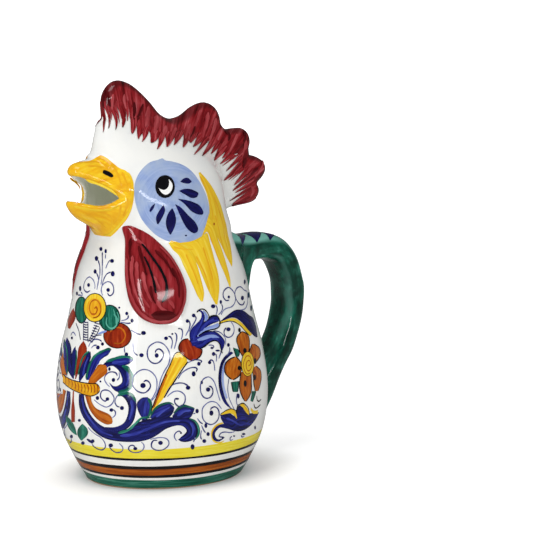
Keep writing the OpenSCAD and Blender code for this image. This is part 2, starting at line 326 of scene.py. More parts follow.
def gape_field(p):
    """Negative where the open mouth leaves the beak's side out."""
    x, z = p[:, 0], p[:, 2]
    upper = NECK_Z + BEAK_H * curve(UPPER_LIP, (NECK_X - x) / UPPER_REACH)
    lower = NECK_Z + BEAK_H * curve(LOWER_LIP, (NECK_X - x) / LOWER_REACH)
    corner = NECK_X - UPPER_REACH * MOUTH_CORNER[0]
    return LIP_SLOPE * np.maximum(z - upper, lower - z) + CORNER_SLOPE * np.maximum(x - corner, 0)


def brow_field(p):
    """The roll of clay over the beak."""
    rows = np.array(BROW)
    spots = np.stack([NECK_X - NECK_R * rows[:, 0], NECK_R * rows[:, 1], NECK_Z + BEAK_H * rows[:, 2]], 1)
    path = through(spots, 9)
    q = np.stack([p[:, 0], np.abs(p[:, 1]), p[:, 2]], 1)
    best = np.full(len(p), 1e9)
    for a, b in zip(path[:-1], path[1:]):
        e = b - a
        t = np.clip(((q - a) @ e) / (e @ e), 0, 1)
        best = np.minimum(best, np.linalg.norm(q - a - t[:, None] * e, axis=1))
    return best - BROW_R


# The head's hollow ends at this height
HOLLOW_TOP = 226.0
# None of the beak lies behind FACE_X or outside these heights
FACE_X, BEAK_LOW_Z, BEAK_TOP_Z = -22, 150, 236
# Below this height there is no comb
COMB_LOW_Z = 168
# Fillets where clay meets clay, and the rounding of the hollow's top, of its rim and of the lips
COMB_FILLET, LIP_FILLET, FACE_FILLET, HOLLOW_FILLET = 13, 2.0, 2.5, 5.0
HOLLOW_ROUND, RIM_ROUND, LIP_ROUND = 4.0, 1.5, 3.0


def at_beak(p):
    return (p[:, 0] < FACE_X) & (p[:, 2] < BEAK_TOP_Z) & (p[:, 2] > BEAK_LOW_Z)


def closed_beak(p):
    upper = mandible_field(p, UPPER_REACH, UPPER)
    return join(upper, mandible_field(p, LOWER_REACH, LOWER), LIP_FILLET)


def head_outside(p):
    """The outside of neck, head, comb and closed beak."""
    d = tube_field(p)
    high = p[:, 2] > COMB_LOW_Z
    d[high] = join(d[high], comb_field(p[high]), COMB_FILLET)
    near = at_beak(p)
    q = p[near]
    d[near] = join(d[near], join(closed_beak(q), brow_field(q), FACE_FILLET), FACE_FILLET)
    return d


def head_solid(p):
    """The hollow head with its open beak."""
    d = head_outside(p)
    hollow = tube_field(p) + HEAD_WALL
    near = at_beak(p)
    q = p[near]
    hollow[near] = join(hollow[near], closed_beak(q) + BEAK_WALL, HOLLOW_FILLET)
    hollow = meet(hollow, p[:, 2] - HOLLOW_TOP, HOLLOW_ROUND)
    d = meet(d, -hollow, RIM_ROUND)
    d[near] = meet(d[near], -gape_field(q), LIP_ROUND)
    return d


def gradient(field, p, step=0.35):
    """How a field changes along x, y and z."""
    g = np.empty_like(p)
    for k in range(3):
        e = np.zeros(3)
        e[k] = step
        g[:, k] = (field(p + e) - field(p - e)) / (2 * step)
    return g


def settle(field, p, times=3):
    """Moves points onto the surface by small steps, and gives their normals too."""
    p = p.copy()
    for _ in range(times):
        g = gradient(field, p)
        size = np.maximum((g * g).sum(1), 0.3)
        p -= np.clip(field(p) / size, -0.8, 0.8)[:, None] * g
    return p, unit(gradient(field, p, 0.5))


def net(field, low, high, step):
    """A mesh of a field that is the same on both sides of y = 0, as vertices and four-cornered faces."""
    low, high = np.array(low, float), np.array(high, float)
    low[1] = -step / 2
    n = np.ceil((high - low) / step).astype(int) + 1
    axes = [low[k] + step * np.arange(n[k]) for k in range(3)]
    v = np.empty(n)
    for i in range(n[0]):
        y, z = np.meshgrid(axes[1], axes[2], indexing="ij")
        v[i] = field(np.stack([np.full(y.size, axes[0][i]), y.ravel(), z.ravel()], 1)).reshape(n[1:])
    inside = v < 0
    cells = n - 1
    # The cells that the surface passes through
    total = np.zeros(cells, int)
    for a, b, c in np.ndindex(2, 2, 2):
        total += inside[a:a + cells[0], b:b + cells[1], c:c + cells[2]]
    active = (total > 0) & (total < 8)
    index = np.full(cells, -1)
    index[active] = np.arange(active.sum())
    where = np.argwhere(active)
    # A point in each: the middle of the places where its edges cross the surface
    sums, count = np.zeros((len(where), 3)), np.zeros(len(where))
    corners = [np.array(c) for c in np.ndindex(2, 2, 2)]
    for a in corners:
        for k in range(3):
            if a[k]:
                continue
            b = a.copy()
            b[k] = 1
            va = v[tuple((where + a).T)]
            vb = v[tuple((where + b).T)]
            hit = (va < 0) != (vb < 0)
            t = np.where(hit, va / np.where(hit, va - vb, 1), 0)
            spot = where + a + t[:, None] * (b - a)
            sums[hit] += spot[hit]
            count[hit] += 1
    points = low + step * sums / count[:, None]
    # A face between the four cells round each lattice edge that crosses the surface
    faces = []
    for k in range(3):
        shift = [0, 0, 0]
        shift[k] = 1
        a = inside[tuple(slice(0, n[i] - shift[i]) for i in range(3))]
        b = inside[tuple(slice(shift[i], n[i]) for i in range(3))]
        edge = np.argwhere(a != b)
        i, j = [m for m in range(3) if m != k]
        edge = edge[(edge[:, i] > 0) & (edge[:, j] > 0) & (edge[:, i] < cells[i]) & (edge[:, j] < cells[j])]
        flip = a[tuple(edge.T)]
        ei, ej = np.eye(3, dtype=int)[i], np.eye(3, dtype=int)[j]
        quad = np.stack([index[tuple((edge - di * ei - dj * ej).T)]
                         for di, dj in ((1, 1), (0, 1), (0, 0), (1, 0))], 1)
        if k == 1:
            flip = ~flip
        quad[~flip] = quad[~flip][:, ::-1]
        faces.append(quad)
    faces = np.concatenate(faces)
    middle = where[:, 1] == 0
    points[middle, 1] = 0
    return points, faces, middle


def mirrored(points, faces, middle):
    """Both halves from one half; the points in the middle are shared."""
    other = np.arange(len(points))
    side = ~middle
    other[side] = len(points) + np.arange(side.sum())
    return (np.concatenate([points, points[side] * [1, -1, 1]]),
            np.concatenate([faces, other[faces][:, ::-1]]))


def brush_at(across, along, seed):
    """Where the brush is at each point, and a number that gives each surface streaks of its own."""
    return np.stack([across, along, np.full(len(across), seed)], 1)


def vertex_normals(points, tris):
    """A normal at each point from the triangles round it."""
    a, b, c = (points[tris[:, k]] for k in range(3))
    n = np.cross(b - a, c - a)
    out = np.zeros_like(points)
    for k in range(3):
        for m in range(3):
            out[:, m] += np.bincount(tris[:, k], n[:, m], len(points))
    return unit(out)


def turned_out(tris, normals, way):
    """Triangles and normals, turned over together where they look against way."""
    return (tris[:, ::-1], -normals) if (normals * way).sum() < 0 else (tris, normals)


def cut(data, tris, label, value, choose):
    """Splits triangles where value changes sign; label becomes choose(label) on the positive side."""
    value = np.where(np.abs(value) < 1e-6, 1e-6, value)
    s = value > 0
    count = s[tris].sum(1)
    whole = (count == 0) | (count == 3)
    mix, mix_label = tris[~whole], label[~whole]
    sm = s[mix]
    lone_up = sm.sum(1) == 1
    lone = np.argmax(sm == lone_up[:, None], axis=1)
    tri = np.take_along_axis(mix, (lone[:, None] + np.arange(3)) % 3, 1)
    a, b, c = tri.T
    ends = np.sort(np.concatenate([np.stack([a, b], 1), np.stack([a, c], 1)]), 1)
    ends, back = np.unique(ends, axis=0, return_inverse=True)
    back = back.ravel()
    t = (value[ends[:, 0]] / (value[ends[:, 0]] - value[ends[:, 1]]))[:, None]
    fresh = data[ends[:, 0]] * (1 - t) + data[ends[:, 1]] * t
    ab, ac = len(data) + back[:len(a)], len(data) + back[len(a):]
    made = [np.stack(t, 1) for t in ((a, ab, ac), (ab, b, c), (ab, c, ac))]
    out = np.concatenate([tris[whole], *made])
    up = np.concatenate([count[whole] == 3, lone_up, ~lone_up, ~lone_up])
    labels = np.concatenate([label[whole], mix_label, mix_label, mix_label])
    return np.concatenate([data, fresh]), out, np.where(up, choose(labels), labels)


# The camera stands as in the photograph, whose frame is 533 pixels square
FRAME_PX, FOCAL_PX = 533.0, 2600.0
CAMERA_AT = np.array([-1013.9, -1420.2, 377.6])
LOOK = unit(np.array([0.61, 0.7808, -0.1352]))
RIGHT = np.array([0.7848, -0.6189, -0.0329])
RIGHT = unit(RIGHT - LOOK * (RIGHT @ LOOK))
UP = np.cross(RIGHT, LOOK)


def to_px(p):
    """Where the photograph shows a place."""
    q = p - CAMERA_AT
    depth = q @ LOOK
    return np.stack([FRAME_PX / 2 + FOCAL_PX * (q @ RIGHT) / depth,
                     FRAME_PX / 2 - FOCAL_PX * (q @ UP) / depth], -1)


def left_px(p):
    """Where the photograph shows a place, with the far side folded onto the near one."""
    return to_px(np.stack([p[:, 0], -np.abs(p[:, 1]), p[:, 2]], 1))


# Materials: a clear glaze over brushed colours
MATERIALS = {}


def hexed(code):
    """A colour as the eye reads it, turned into the renderer's linear values."""
    v = [int(code[i:i + 2], 16) / 255 for i in (0, 2, 4)]
    return (*(c / 12.92 if c <= 0.04045 else ((c + 0.055) / 1.055) ** 2.4 for c in v), 1)


def grey(v):
    return v, v, v, 1


BLACK, WHITE = grey(0), grey(1)


def feed(tree, socket, value):
    """Gives a socket another node's output or a plain value."""
    if hasattr(value, "links"):
        tree.links.new(value, socket)
    else:
        socket.default_value = value


def node(tree, kind, *values, operation=None, **named):
    """A new node with its inputs given in order or by name, where _ stands for a space."""
    n = tree.nodes.new("ShaderNode" + kind)
    if operation:
        n.operation = operation
    for socket, value in zip(n.inputs, values):
        feed(tree, socket, value)
    for key, value in named.items():
        feed(tree, n.inputs[key.replace("_", " ")], value)
    return n


def ramp(tree, source, *stops):
    """Colours or greys by a value, from place and colour pairs."""
    n = node(tree, "ValToRGB", source)
    e = n.color_ramp.elements
    while len(e) < len(stops):
        e.new(0.5)
    for item, (place, colour) in zip(e, stops):
        item.position = place
        item.color = colour
    return n.outputs[0]


def mix(tree, factor, a, b, how="MIX"):
    """Two colours mixed by a factor."""
    n = node(tree, "Mix")
    n.data_type = "RGBA"
    n.blend_type = how
    for k, value in ((0, factor), (6, a), (7, b)):
        feed(tree, n.inputs[k], value)
    return n.outputs[2]


def carried(tree, name):
    """The values that the pieces carry at their points."""
    n = node(tree, "Attribute")
    n.attribute_name = name
    return n


def glaze(name, colours, streak=(0.9, 0.06), wash=None, pool_and_shade=0.0, fade=None, painted_light_and_shade=None,
          rough=0.07, wave=0.10, slow=22.0):
    """A glaze whose colour runs through colours, from dark to light, along the brush's way.

    streak is how often it changes across and along the brush, wash a second colour in clouds, pool_and_shade
    how much darker an edge is, where brush strokes pool at their edges and as painted shade towards the
    comb's rounded rim, fade the colour at a stroke's end, painted_light_and_shade the pale colour of painted
    light where the edge value is 1, with painted shade where it is 0, and wave how strongly the surface
    swells, slow times a metre.
    """
    m = bpy.data.materials.new(name)
    m.use_nodes = True
    t = m.node_tree
    bsdf = t.nodes["Principled BSDF"].inputs
    for key, value in (("Roughness", rough), ("IOR", 1.5), ("Specular IOR Level", 0.34)):
        bsdf[key].default_value = value
    where = node(t, "TexCoord").outputs["Object"]
    brush = carried(t, "brush").outputs["Vector"]
    stretch = node(t, "VectorMath", brush, (*streak, 7.3), operation="MULTIPLY")
    lines = node(t, "TexNoise", Vector=stretch.outputs[0], Scale=1.0, Detail=5.0, Roughness=0.62).outputs[0]
    shades = [hexed(code) for code in colours.split()]
    colour = ramp(t, lines, *((0.30 + 0.40 * k / (len(shades) - 1), c) for k, c in enumerate(shades)))
    if wash:
        cloud = node(t, "TexNoise", Vector=where, Scale=slow * 4, Detail=3.0, Roughness=0.5).outputs[0]
        colour = mix(t, ramp(t, cloud, (0.42, BLACK), (0.68, WHITE)), colour, hexed(wash))
    edge = carried(t, "edge").outputs["Fac"] if pool_and_shade or fade or painted_light_and_shade else None
    # Darker towards an edge: brush strokes pooling at their edges, and painted shade towards the comb's rim
    if pool_and_shade:
        colour = mix(t, 1.0, colour, ramp(t, edge, (0.62, WHITE), (0.97, grey(1 - pool_and_shade))), "MULTIPLY")
    if fade:
        colour = mix(t, ramp(t, edge, (0.12, BLACK), (0.85, WHITE)), colour, hexed(fade))
    # Painted light and shade: towards the pale colour as the edge value rises from 0.5 to 1, darker as it
    # falls from 0.5 to 0
    if painted_light_and_shade:
        colour = mix(t, ramp(t, edge, (0.5, BLACK), (1.0, WHITE)), colour, hexed(painted_light_and_shade))
        colour = mix(t, 1.0, colour, ramp(t, edge, (0.0, (0.3, 0.36, 0.34, 1)), (0.5, WHITE)), "MULTIPLY")
    feed(t, bsdf["Base Color"], colour)
    swell = node(t, "TexNoise", Vector=where, Scale=slow, Detail=2.0, Roughness=0.45).outputs[0]
    bump = node(t, "Bump", Strength=wave, Distance=0.004, Height=swell).outputs[0]
    fine = node(t, "Bump", Strength=0.05, Distance=0.0004, Height=lines, Normal=bump).outputs[0]
    feed(t, bsdf["Normal"], fine)
    MATERIALS[name] = m


CRIMSONS = "3c0408 6a0c12 8c1c22 a73a40 bd6065"
glaze("white_glaze", "ebeae5 eeeeea f0f0ed", wash="e9eae8", wave=0.16, slow=14.0)
glaze("inside_glaze", "f0f0ec f4f4f1")
# On the comb its darker edge is painted shade towards the rounded rim
glaze("crimson_glaze", CRIMSONS, (0.42, 0.035), pool_and_shade=0.6, wave=0.12)
glaze("crimson_wattle", "5a0a10 7c161b 8a1f25 97292f a83c42", (0.3, 0.03))
glaze("crimson_tooth", CRIMSONS, (0.6, 0.05), pool_and_shade=0.75)
glaze("yellow_glaze", "df940f e9ae18 efc020 f2cb2c f5d64a", (0.42, 0.045), wash="e3a21a", wave=0.12)
# The teal's pale colour is painted light on the handle, and its darkest bands there are painted shade
glaze("teal_glaze", "072e25 0b4c3c 1a6b57 4a9886", (0.16, 0.07), wash="0b3a2f", wave=0.2, painted_light_and_shade="74b4a6")
glaze("disc_blue", "8095c6 92a6d0 a8b9dc", (0.4, 0.05), wash="a4b4cf")
glaze("band_yellow", "e0ca26 e8d838 efe258", (0.05, 0.9))
glaze("band_black", "08070a 141216", (0.05, 0.9))
glaze("band_brown", "6a2e08 a04e10 bb6a20", (0.03, 0.9))
glaze("band_green", "0a4032 1f6450 539482", (0.03, 0.9))
# Bare clay at the foot: the clay's own brown, made darker as painted shade where the foot meets the floor
glaze("bare_clay", "8f7458 a3876a", rough=0.75, wave=0.05)
glaze("navy", "0b0b30 12124c 1a1b66", (0.6, 0.1), pool_and_shade=0.35)
glaze("line_blue", "181a58 2a2e76", (0.3, 0.25), fade="626aa2")
glaze("leaf_blue", "070728 0d1048 181d6c 2a3398", (0.7, 0.05), pool_and_shade=0.55)
glaze("lily_blue", "0a0b3e 161a68 242b88 3c47a6", (0.6, 0.05), pool_and_shade=0.7)
glaze("mid_blue", "1e2478 2b3492 4450ae", (0.5, 0.06))
glaze("pale_blue", "6a80c2 889cd4 adbde6", (0.6, 0.06))
glaze("leaf_green", "083a2e 0e5243 1c6f5b 45967f", (0.6, 0.06), pool_and_shade=0.3)
glaze("pale_green", "3f9480 66b09c", (0.5, 0.06))
glaze("outline", "060609 0e0e14", (0.3, 0.1))
glaze("orange_brown", "863608 aa520f c06a18 cc8228", (0.5, 0.06), pool_and_shade=0.35)
glaze("red_brown", "62160a 86240d 9c3213 b04c24", (0.5, 0.06), pool_and_shade=0.3)
glaze("rope_gold", "bd7410 d8980e e6b024", (0.3, 0.12))
glaze("flower_yellow", "dfa616 e8bd26 edcb34 f1d858", (0.55, 0.035), pool_and_shade=0.1)
glaze("feather_orange", "dc9418 e4a71e eab828", (0.5, 0.06))
glaze("eye_white", "f0f0ee f6f6f4")
glaze("crimson_light", "8f272d a03a3f b35054", (0.4, 0.05))
glaze("crimson_dark", "360307 4e070c 660e14", (0.6, 0.05))
# A faint glow that stands for the light thrown to and fro in the white hollow
inside = MATERIALS["inside_glaze"].node_tree.nodes["Principled BSDF"]
inside.inputs["Emission Color"].default_value = (0.95, 1.0, 0.7, 1)
inside.inputs["Emission Strength"].default_value = 0.045


def body_point(az, z, sink=0.0):
    """A place on the thrown body: az in degrees from the beak towards the left side, z above the table."""
    a = np.radians(az)
    h = z / LEAN_COS
    for _ in range(6):
        r = body_r(h) - sink
        h = (z - r * np.cos(a) * LEAN_SIN) / LEAN_COS
    r = body_r(h) - sink
    return from_axis(-r * np.cos(a), -r * np.sin(a), h)


def quads_of(rows, cols, closed=True):
    """The faces of a net, which runs round when it is closed."""
    i, j = np.meshgrid(np.arange(rows - 1), np.arange(cols if closed else cols - 1), indexing="ij")
    i, j = i.ravel(), j.ravel()
    k = (j + 1) % cols
    return np.stack([i * cols + j, i * cols + k, (i + 1) * cols + k, (i + 1) * cols + j], 1)


def split(quads):
    return np.concatenate([quads[:, [0, 1, 2]], quads[:, [0, 2, 3]]])


class Piece:
    """Gathers the triangles of one piece before its mesh is made."""

    def __init__(self, name, *nodes, slot):
        self.name, self.nodes, self.slot = name, nodes, slot
        self.data, self.tris, self.names, self.brush, self.edge = [], [], [], [], []
        self.count = 0

    def add(self, points, normals, tris, names, brush=None, edge=None):
        """Adds triangles with one glaze or one for each."""
        if len(tris) == 0:
            return
        self.data.append(np.concatenate([points, normals], 1))
        self.tris.append(tris + self.count)
        self.names.append(np.array([names] * len(tris)) if isinstance(names, str) else np.array(names))
        self.brush.append(np.zeros((len(points), 3)) if brush is None else brush)
        self.edge.append(np.zeros(len(points)) if edge is None else edge)
        self.count += len(points)

    def make(self):
        """Makes the mesh and says what it replaces."""
        data, tris = np.concatenate(self.data), np.concatenate(self.tris)
        names = np.concatenate(self.names)
        brush, edge = np.concatenate(self.brush), np.concatenate(self.edge)
        used, back = np.unique(tris, return_inverse=True)
        data, brush, edge, tris = data[used], brush[used], edge[used], back.reshape(tris.shape)
        mesh = bpy.data.meshes.new(self.name)
        mesh.from_pydata((data[:, :3] * MM).tolist(), [], tris.tolist())
        kinds = sorted(set(names.tolist()))
        for k in kinds:
            mesh.materials.append(MATERIALS[k])
        lookup = {k: i for i, k in enumerate(kinds)}
        mesh.polygons.foreach_set("material_index", np.array([lookup[k] for k in names.tolist()], np.int32))
        mesh.polygons.foreach_set("use_smooth", np.ones(len(tris), bool))
        layer = mesh.attributes.new("brush", "FLOAT_VECTOR", "POINT")
        layer.data.foreach_set("vector", brush.astype(np.float32).ravel())
        layer = mesh.attributes.new("edge", "FLOAT", "POINT")
        layer.data.foreach_set("value", edge.astype(np.float32))
        mesh.normals_split_custom_set_from_vertices(data[:, 3:].tolist())
        obj = bpy.data.objects.new(self.name, mesh)
        bpy.context.scene.collection.objects.link(obj)
        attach(obj, "root")
        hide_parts(*self.nodes)


foot = Piece("foot_banded", "foot", slot="green_glaze")
belly = Piece("belly_painted", "belly_wall", slot="painted_white_glaze")
neck = Piece("neck_painted", "neck_wall", slot="painted_white_glaze")
head = Piece("head_painted", "head_shell", slot="painted_white_glaze")
comb = Piece("comb_glazed", "comb", slot="crimson_glaze")
upper_beak = Piece("upper_beak_glazed", "upper_beak", slot="yellow_glaze")
lower_beak = Piece("lower_beak_glazed", "lower_beak", slot="yellow_glaze")
left_wattle = Piece("left_wattle_glazed", "left_wattle", slot="crimson_glaze")
right_wattle = Piece("right_wattle_glazed", "right_wattle", slot="crimson_glaze")
handle = Piece("handle_glazed", "handle", slot="teal_glaze")
ALL = [foot, belly, neck, head, comb, upper_beak, lower_beak, left_wattle, right_wattle, handle]


# The thrown body, ring by ring, with its bands. Its net ends at SEAM_Z, and nothing is as high as TOP
SEAM_Z = 156.0
TOP = 999
# Upper edge of each band above the table, and its glaze
BANDS = [(1.0, "bare_clay"), (7.0, "band_green"), (8.9, "white_glaze"), (10.8, "band_black"),
    (15.1, "band_brown"), (17.4, "band_black"), (21.6, "white_glaze"), (23.3, "band_black"),
    (30.2, "band_yellow"), (SEAM_Z, "white_glaze")]


# How far the foot's lower edge is drawn in, the height of a ring of triangles, how unsteady a band's edge is
FOOT_EDGE, BAND_STEP, BAND_WOBBLE = 0.9, 1.7, 0.28


def wobble(az, seed, size):
    """An uneven line round the body, as a brush leaves it on the wheel."""
    a = np.radians(az)
    waves = np.sin(a * 2 + seed) + 0.6 * np.sin(a * 5 + 2.1 * seed) + 0.4 * np.sin(a * 11 + 3.7 * seed)
    return size * waves / 2


def close_foot(rim, facing, kind):
    """The foot's flat face inside a rim, facing up or down."""
    rings = np.concatenate([rim * [s, s, 1] for s in (1.0, 0.6, 0.2, 0.005)])
    tris = split(quads_of(4, len(rim)))
    foot.add(rings, np.tile([0.0, 0, facing], (len(rings), 1)), tris[:, ::facing], kind)


def make_body():
    """The banded and glazed outside from the foot to the seam below the head."""
    az = np.arange(0, 360, 1.25)
    rows, kinds, low = [np.zeros(len(az))], [], 0.0
    for k, (top, kind) in enumerate(BANDS):
        count = max(1, int(round((top - low) / BAND_STEP)))
        last = k == len(BANDS) - 1
        edge = top + (0 if last else wobble(az, k + 1, BAND_WOBBLE))
        start = rows[-1]
        for i in range(1, count + 1):
            rows.append(start + (edge - start) * i / count)
            kinds.append(kind)
        low = top
    z = np.array(rows)
    a = np.broadcast_to(az, z.shape)
    shrink = np.where(z < 1.0, FOOT_EDGE * (1 - z), 0)
    p = body_point(a.ravel(), z.ravel(), shrink.ravel())
    tris = split(quads_of(len(z), len(az)))
    n = unit(gradient(body_field, p, 0.4))
    names = np.tile(np.repeat(kinds, len(az)), 2)
    axial = to_axis(p[tris].mean(1))[1]
    brush = brush_at(np.radians(a.ravel()) * 66, z.ravel(), 0.3)
    for piece, low, high in ((foot, -TOP, FLOOR_T), (belly, FLOOR_T, BELLY_H), (neck, BELLY_H, TOP)):
        take = (axial >= low) & (axial < high)
        piece.add(p, n, tris[take], names[take], brush)
    close_foot(body_point(az, np.zeros(len(az)), FOOT_EDGE), -1, "bare_clay")


def make_inside():
    """The white inside of belly and neck, with the floor."""
    az = np.arange(0, 360, 3.75)
    z = np.linspace(FLOOR_T, SEAM_Z, 50)
    a, zz = np.meshgrid(az, z)
    a, zz = a.ravel(), zz.ravel()
    p = body_point(a, zz, WALL)
    n = unit(-gradient(body_field, p, 0.4))
    tris = split(quads_of(len(z), len(az)))[:, ::-1]
    level = p[tris].mean(1)[:, 2]
    belly.add(p, n, tris[level < BELLY_H], "inside_glaze")
    neck.add(p, n, tris[level >= BELLY_H], "inside_glaze")
    close_foot(p[:len(az)], 1, "inside_glaze")


# Where the colours end on the head, drawn on the photograph
COMB_EDGE_PX = [60, 60, 60, 104, 101, 105, 107, 107.5, 110.8, 110.3, 114.8, 110.6, 116, 105.2, 121, 106.5,
    128, 105, 132, 111, 137, 120.5, 141, 130, 146, 131, 150, 130, 158.5, 136, 165, 136, 174.5, 136,
    183, 133.5, 188.5, 138.5, 196.5, 136, 202, 139.8, 209.6, 139, 218, 147, 225.5, 150.3, 231, 155,
    238.5, 153.8, 240, 161, 239.5, 170, 244.5, 168.5, 250.5, 171.5, 252, 180, 249, 187, 250.5, 193, 252, 204,
    262, 215, 300, 215, 300, 60]
DISC_PX = [162.5, 158.3, 165.5, 160.4, 171, 161.2, 180, 163.7, 188, 168, 195, 175, 201, 184, 205.8, 194,
    208.8, 205, 209.7, 216, 208, 227, 204, 236, 198, 241, 188, 243.2, 176, 242.4, 166, 240.5, 156, 235,
    148, 227.5, 141, 218, 136.5, 207, 134.2, 195, 134.7, 184, 138, 175, 143, 168, 150, 162.2, 158, 159.8]
BEAK_PX = [101, 155.3, 107, 158, 113, 163, 119.5, 168, 125.5, 170.5, 130, 175, 133, 183, 134.2, 192,
    133.3, 202, 131, 211, 127, 219, 121, 226.5, 115, 233, 109, 237.5, 104, 238, 98, 234.5, 93, 229, 86, 227,
    60, 226, 40, 215, 40, 175, 60, 164, 80, 161.6, 90, 160.5, 97, 157]


def px_region(outline):
    """A function of places that is positive inside an outline on the photograph."""
    loop = through(pairs(outline), 4 * len(outline), closed=True)
    return lambda p: polygon_distance(left_px(p), loop)


# Where the comb's brush strokes point to and the middle of the disc, on the photograph
COMB_FAN, DISC_MID_PX = (150, 262), (172, 201)
# The skin is thinner than this, and what lies before THROAT_X inside it belongs to the beak
SKIN_DEPTH, THROAT_X = 2.4, -44
# The beak is brushed along its length round this height
BEAK_MID_Z = 196
# What a triangle of the head belongs to
(NO_PART, ON_HEAD, ON_COMB, ON_UPPER, ON_LOWER, IN_HEAD, ON_DISC, IN_UPPER, IN_LOWER, ON_NECK,
    DISC_ON_NECK) = range(-1, 10)
# Box round the head's net, and the net's step
HEAD_LOW, HEAD_HIGH, HEAD_STEP = (-76, 0, 151.5), (103, 53, 273), 1.25


def polar(px, mid):
    """Angles and distances of places on the photograph as seen from mid."""
    off = px - mid
    return np.arctan2(off[:, 1], off[:, 0]), np.hypot(off[:, 0], off[:, 1])


def make_head():
    """Head, comb and beak as one net, cut along their borders into pieces and colours."""
    points, quads, middle = net(head_solid, HEAD_LOW, HEAD_HIGH, HEAD_STEP)
    points, _ = settle(head_solid, points, 3)
    points[middle, 1] = 0
    points, quads = mirrored(points, quads, middle)
    tris = split(quads)
    normals = vertex_normals(points, tris)
    data = np.concatenate([points, normals], 1)
    label = np.full(len(tris), ON_HEAD)
    disc = px_region(DISC_PX)

    def divide(where, old, new):
        """Gives the triangles of old where a function of the place is positive to new."""
        nonlocal data, tris, label
        value = where(data[:, :3])
        data, tris, label = cut(data, tris, label, value, lambda k: np.where(k == old, new, k))

    lip_z = NECK_Z + BEAK_H * MOUTH_CORNER[1]
    divide(lambda p: SEAM_Z - p[:, 2], ON_HEAD, NO_PART)
    divide(lambda p: -(head_outside(p) + SKIN_DEPTH), ON_HEAD, IN_HEAD)
    divide(lambda p: THROAT_X - p[:, 0], IN_HEAD, IN_UPPER)
    divide(lambda p: BODY_H - to_axis(p)[1], ON_HEAD, ON_NECK)
    divide(lambda p: np.minimum(px_region(BEAK_PX)(p), FACE_X - p[:, 0]), ON_HEAD, ON_UPPER)
    divide(lambda p: lip_z - p[:, 2], ON_UPPER, ON_LOWER)
    divide(lambda p: lip_z - p[:, 2], IN_UPPER, IN_LOWER)
    divide(px_region(COMB_EDGE_PX), ON_HEAD, ON_COMB)
    divide(disc, ON_HEAD, ON_DISC)
    divide(disc, ON_NECK, DISC_ON_NECK)
    points, normals = data[:, :3], unit(data[:, 3:])
    px = left_px(points)
    turn, away = polar(px, COMB_FAN)
    fan = brush_at(turn * 100, away * 0.68, 0.7)
    # Painted shade: the comb's crimson grows darker towards its rounded outer rim
    rim = smoothstep(3.0, -4.5, comb_plane(points[:, 0], points[:, 2]))
    turn, away = polar(px, DISC_MID_PX)
    rings = brush_at(away, 20 * turn, 2.5)
    beak_way = brush_at(np.arctan2(points[:, 2] - BEAK_MID_Z, points[:, 1]) * 20, points[:, 0], 1.9)
    for part, piece, kind, brush in (
            (ON_HEAD, head, "white_glaze", None), (ON_DISC, head, "disc_blue", rings),
            (DISC_ON_NECK, neck, "disc_blue", rings), (IN_HEAD, head, "inside_glaze", None),
            (ON_NECK, neck, "white_glaze", None), (ON_COMB, comb, "crimson_glaze", fan),
            (ON_UPPER, upper_beak, "yellow_glaze", beak_way), (IN_UPPER, upper_beak, "inside_glaze", None),
            (ON_LOWER, lower_beak, "yellow_glaze", beak_way), (IN_LOWER, lower_beak, "inside_glaze", None)):
        piece.add(points, normals, tris[label == part], kind, brush, rim if part == ON_COMB else None)


# A wattle's rim is steeper the higher the first number. The others are how much its height sinks outwards, as
# a share, and how deep its outline is set into the neck
CUSHION_RIM, CUSHION_SINK, CUSHION_SET = 4.5, 0.10, 0.12
# Its net has so many rings of so many points, and the rings crowd towards the outline by this power
WATTLE_RINGS, WATTLE_AROUND, WATTLE_CROWD = 40, 168, 1.8


def cushion(f):
    """Height of a wattle above the neck, f being 0 at its middle and 1 at its outline."""
    return WATTLE_T * np.sqrt(np.maximum(1 - f ** CUSHION_RIM, 0)) * (1 - CUSHION_SINK * f) - CUSHION_SET


def make_wattle(piece, side):
    """A cushion on the throat, on the left with side 1 and on the right with -1."""
    loop = through(WATTLE, WATTLE_AROUND, closed=True)
    mid = np.array(WATTLE_MID)
    f = 1 - (1 - np.linspace(0, 1, WATTLE_RINGS)) ** WATTLE_CROWD
    f[0] = 0.004
    share = (mid + f[:, None, None] * (loop - mid)).reshape(-1, 2)
    h = share[:, 1] * BODY_H
    turn = 90 * share[:, 0] + (WATTLE_SKEW if side < 0 else 0)
    r = body_r(h)
    a = np.radians(turn)
    p, n = settle(tube_field, from_axis(-r * np.cos(a), -side * r * np.sin(a), h), 3)
    p = p + n * np.repeat(cushion(f), WATTLE_AROUND)[:, None]
    tris = split(quads_of(WATTLE_RINGS, WATTLE_AROUND))
    if side < 0:
        tris = tris[:, ::-1]
    tris, normals = turned_out(tris, vertex_normals(p, tris), n)
    piece.add(p, normals, tris, "crimson_wattle", brush_at(turn * 1.05, h + 0.3 * turn, 4.1))


def handle_line(u, count=400):
    """Places on the strap's middle line, u running from its root on the nape to its root on the belly."""
    x = through(HANDLE, count)
    k = u * (count - 1)
    i = np.clip(k.astype(int), 0, count - 2)
    s = x[i] + (x[i + 1] - x[i]) * (k - i)[:, None]
    return np.stack([NECK_X * s[:, 1] + HANDLE_REACH * s[:, 0], np.zeros(len(u)), BODY_H * s[:, 1]], 1)


# Depth of the handle's root in the wall's thickness, the reach of the web below its upper root, and how much
# further out its lower end comes down the belly
HANDLE_ROOT, HANDLE_WEB, HANDLE_TAIL = 9.0, 28.0, 5.5
# Distance from the wall up to which the web is full, and the distances in which web, tail and flare fade
WEB_FULL, WEB_FADE, TAIL_FADE, FLARE_FADE = 11.5, 1.9, 14, 5
# How much wider the roots are, how deep the fingers' dents are, and how round the strap's section is
FLARE, DENT, SECTION_POWER = 0.24, 0.018, 2 / 2.5
# Beyond its ends the strap runs straight on, so many millimetres for a step of 1 along it
BEYOND = 100
# The handle's net, and how deep in the wall its ends are cut off
HANDLE_ROWS, HANDLE_AROUND, HANDLE_DEEP = 200, 64, 4


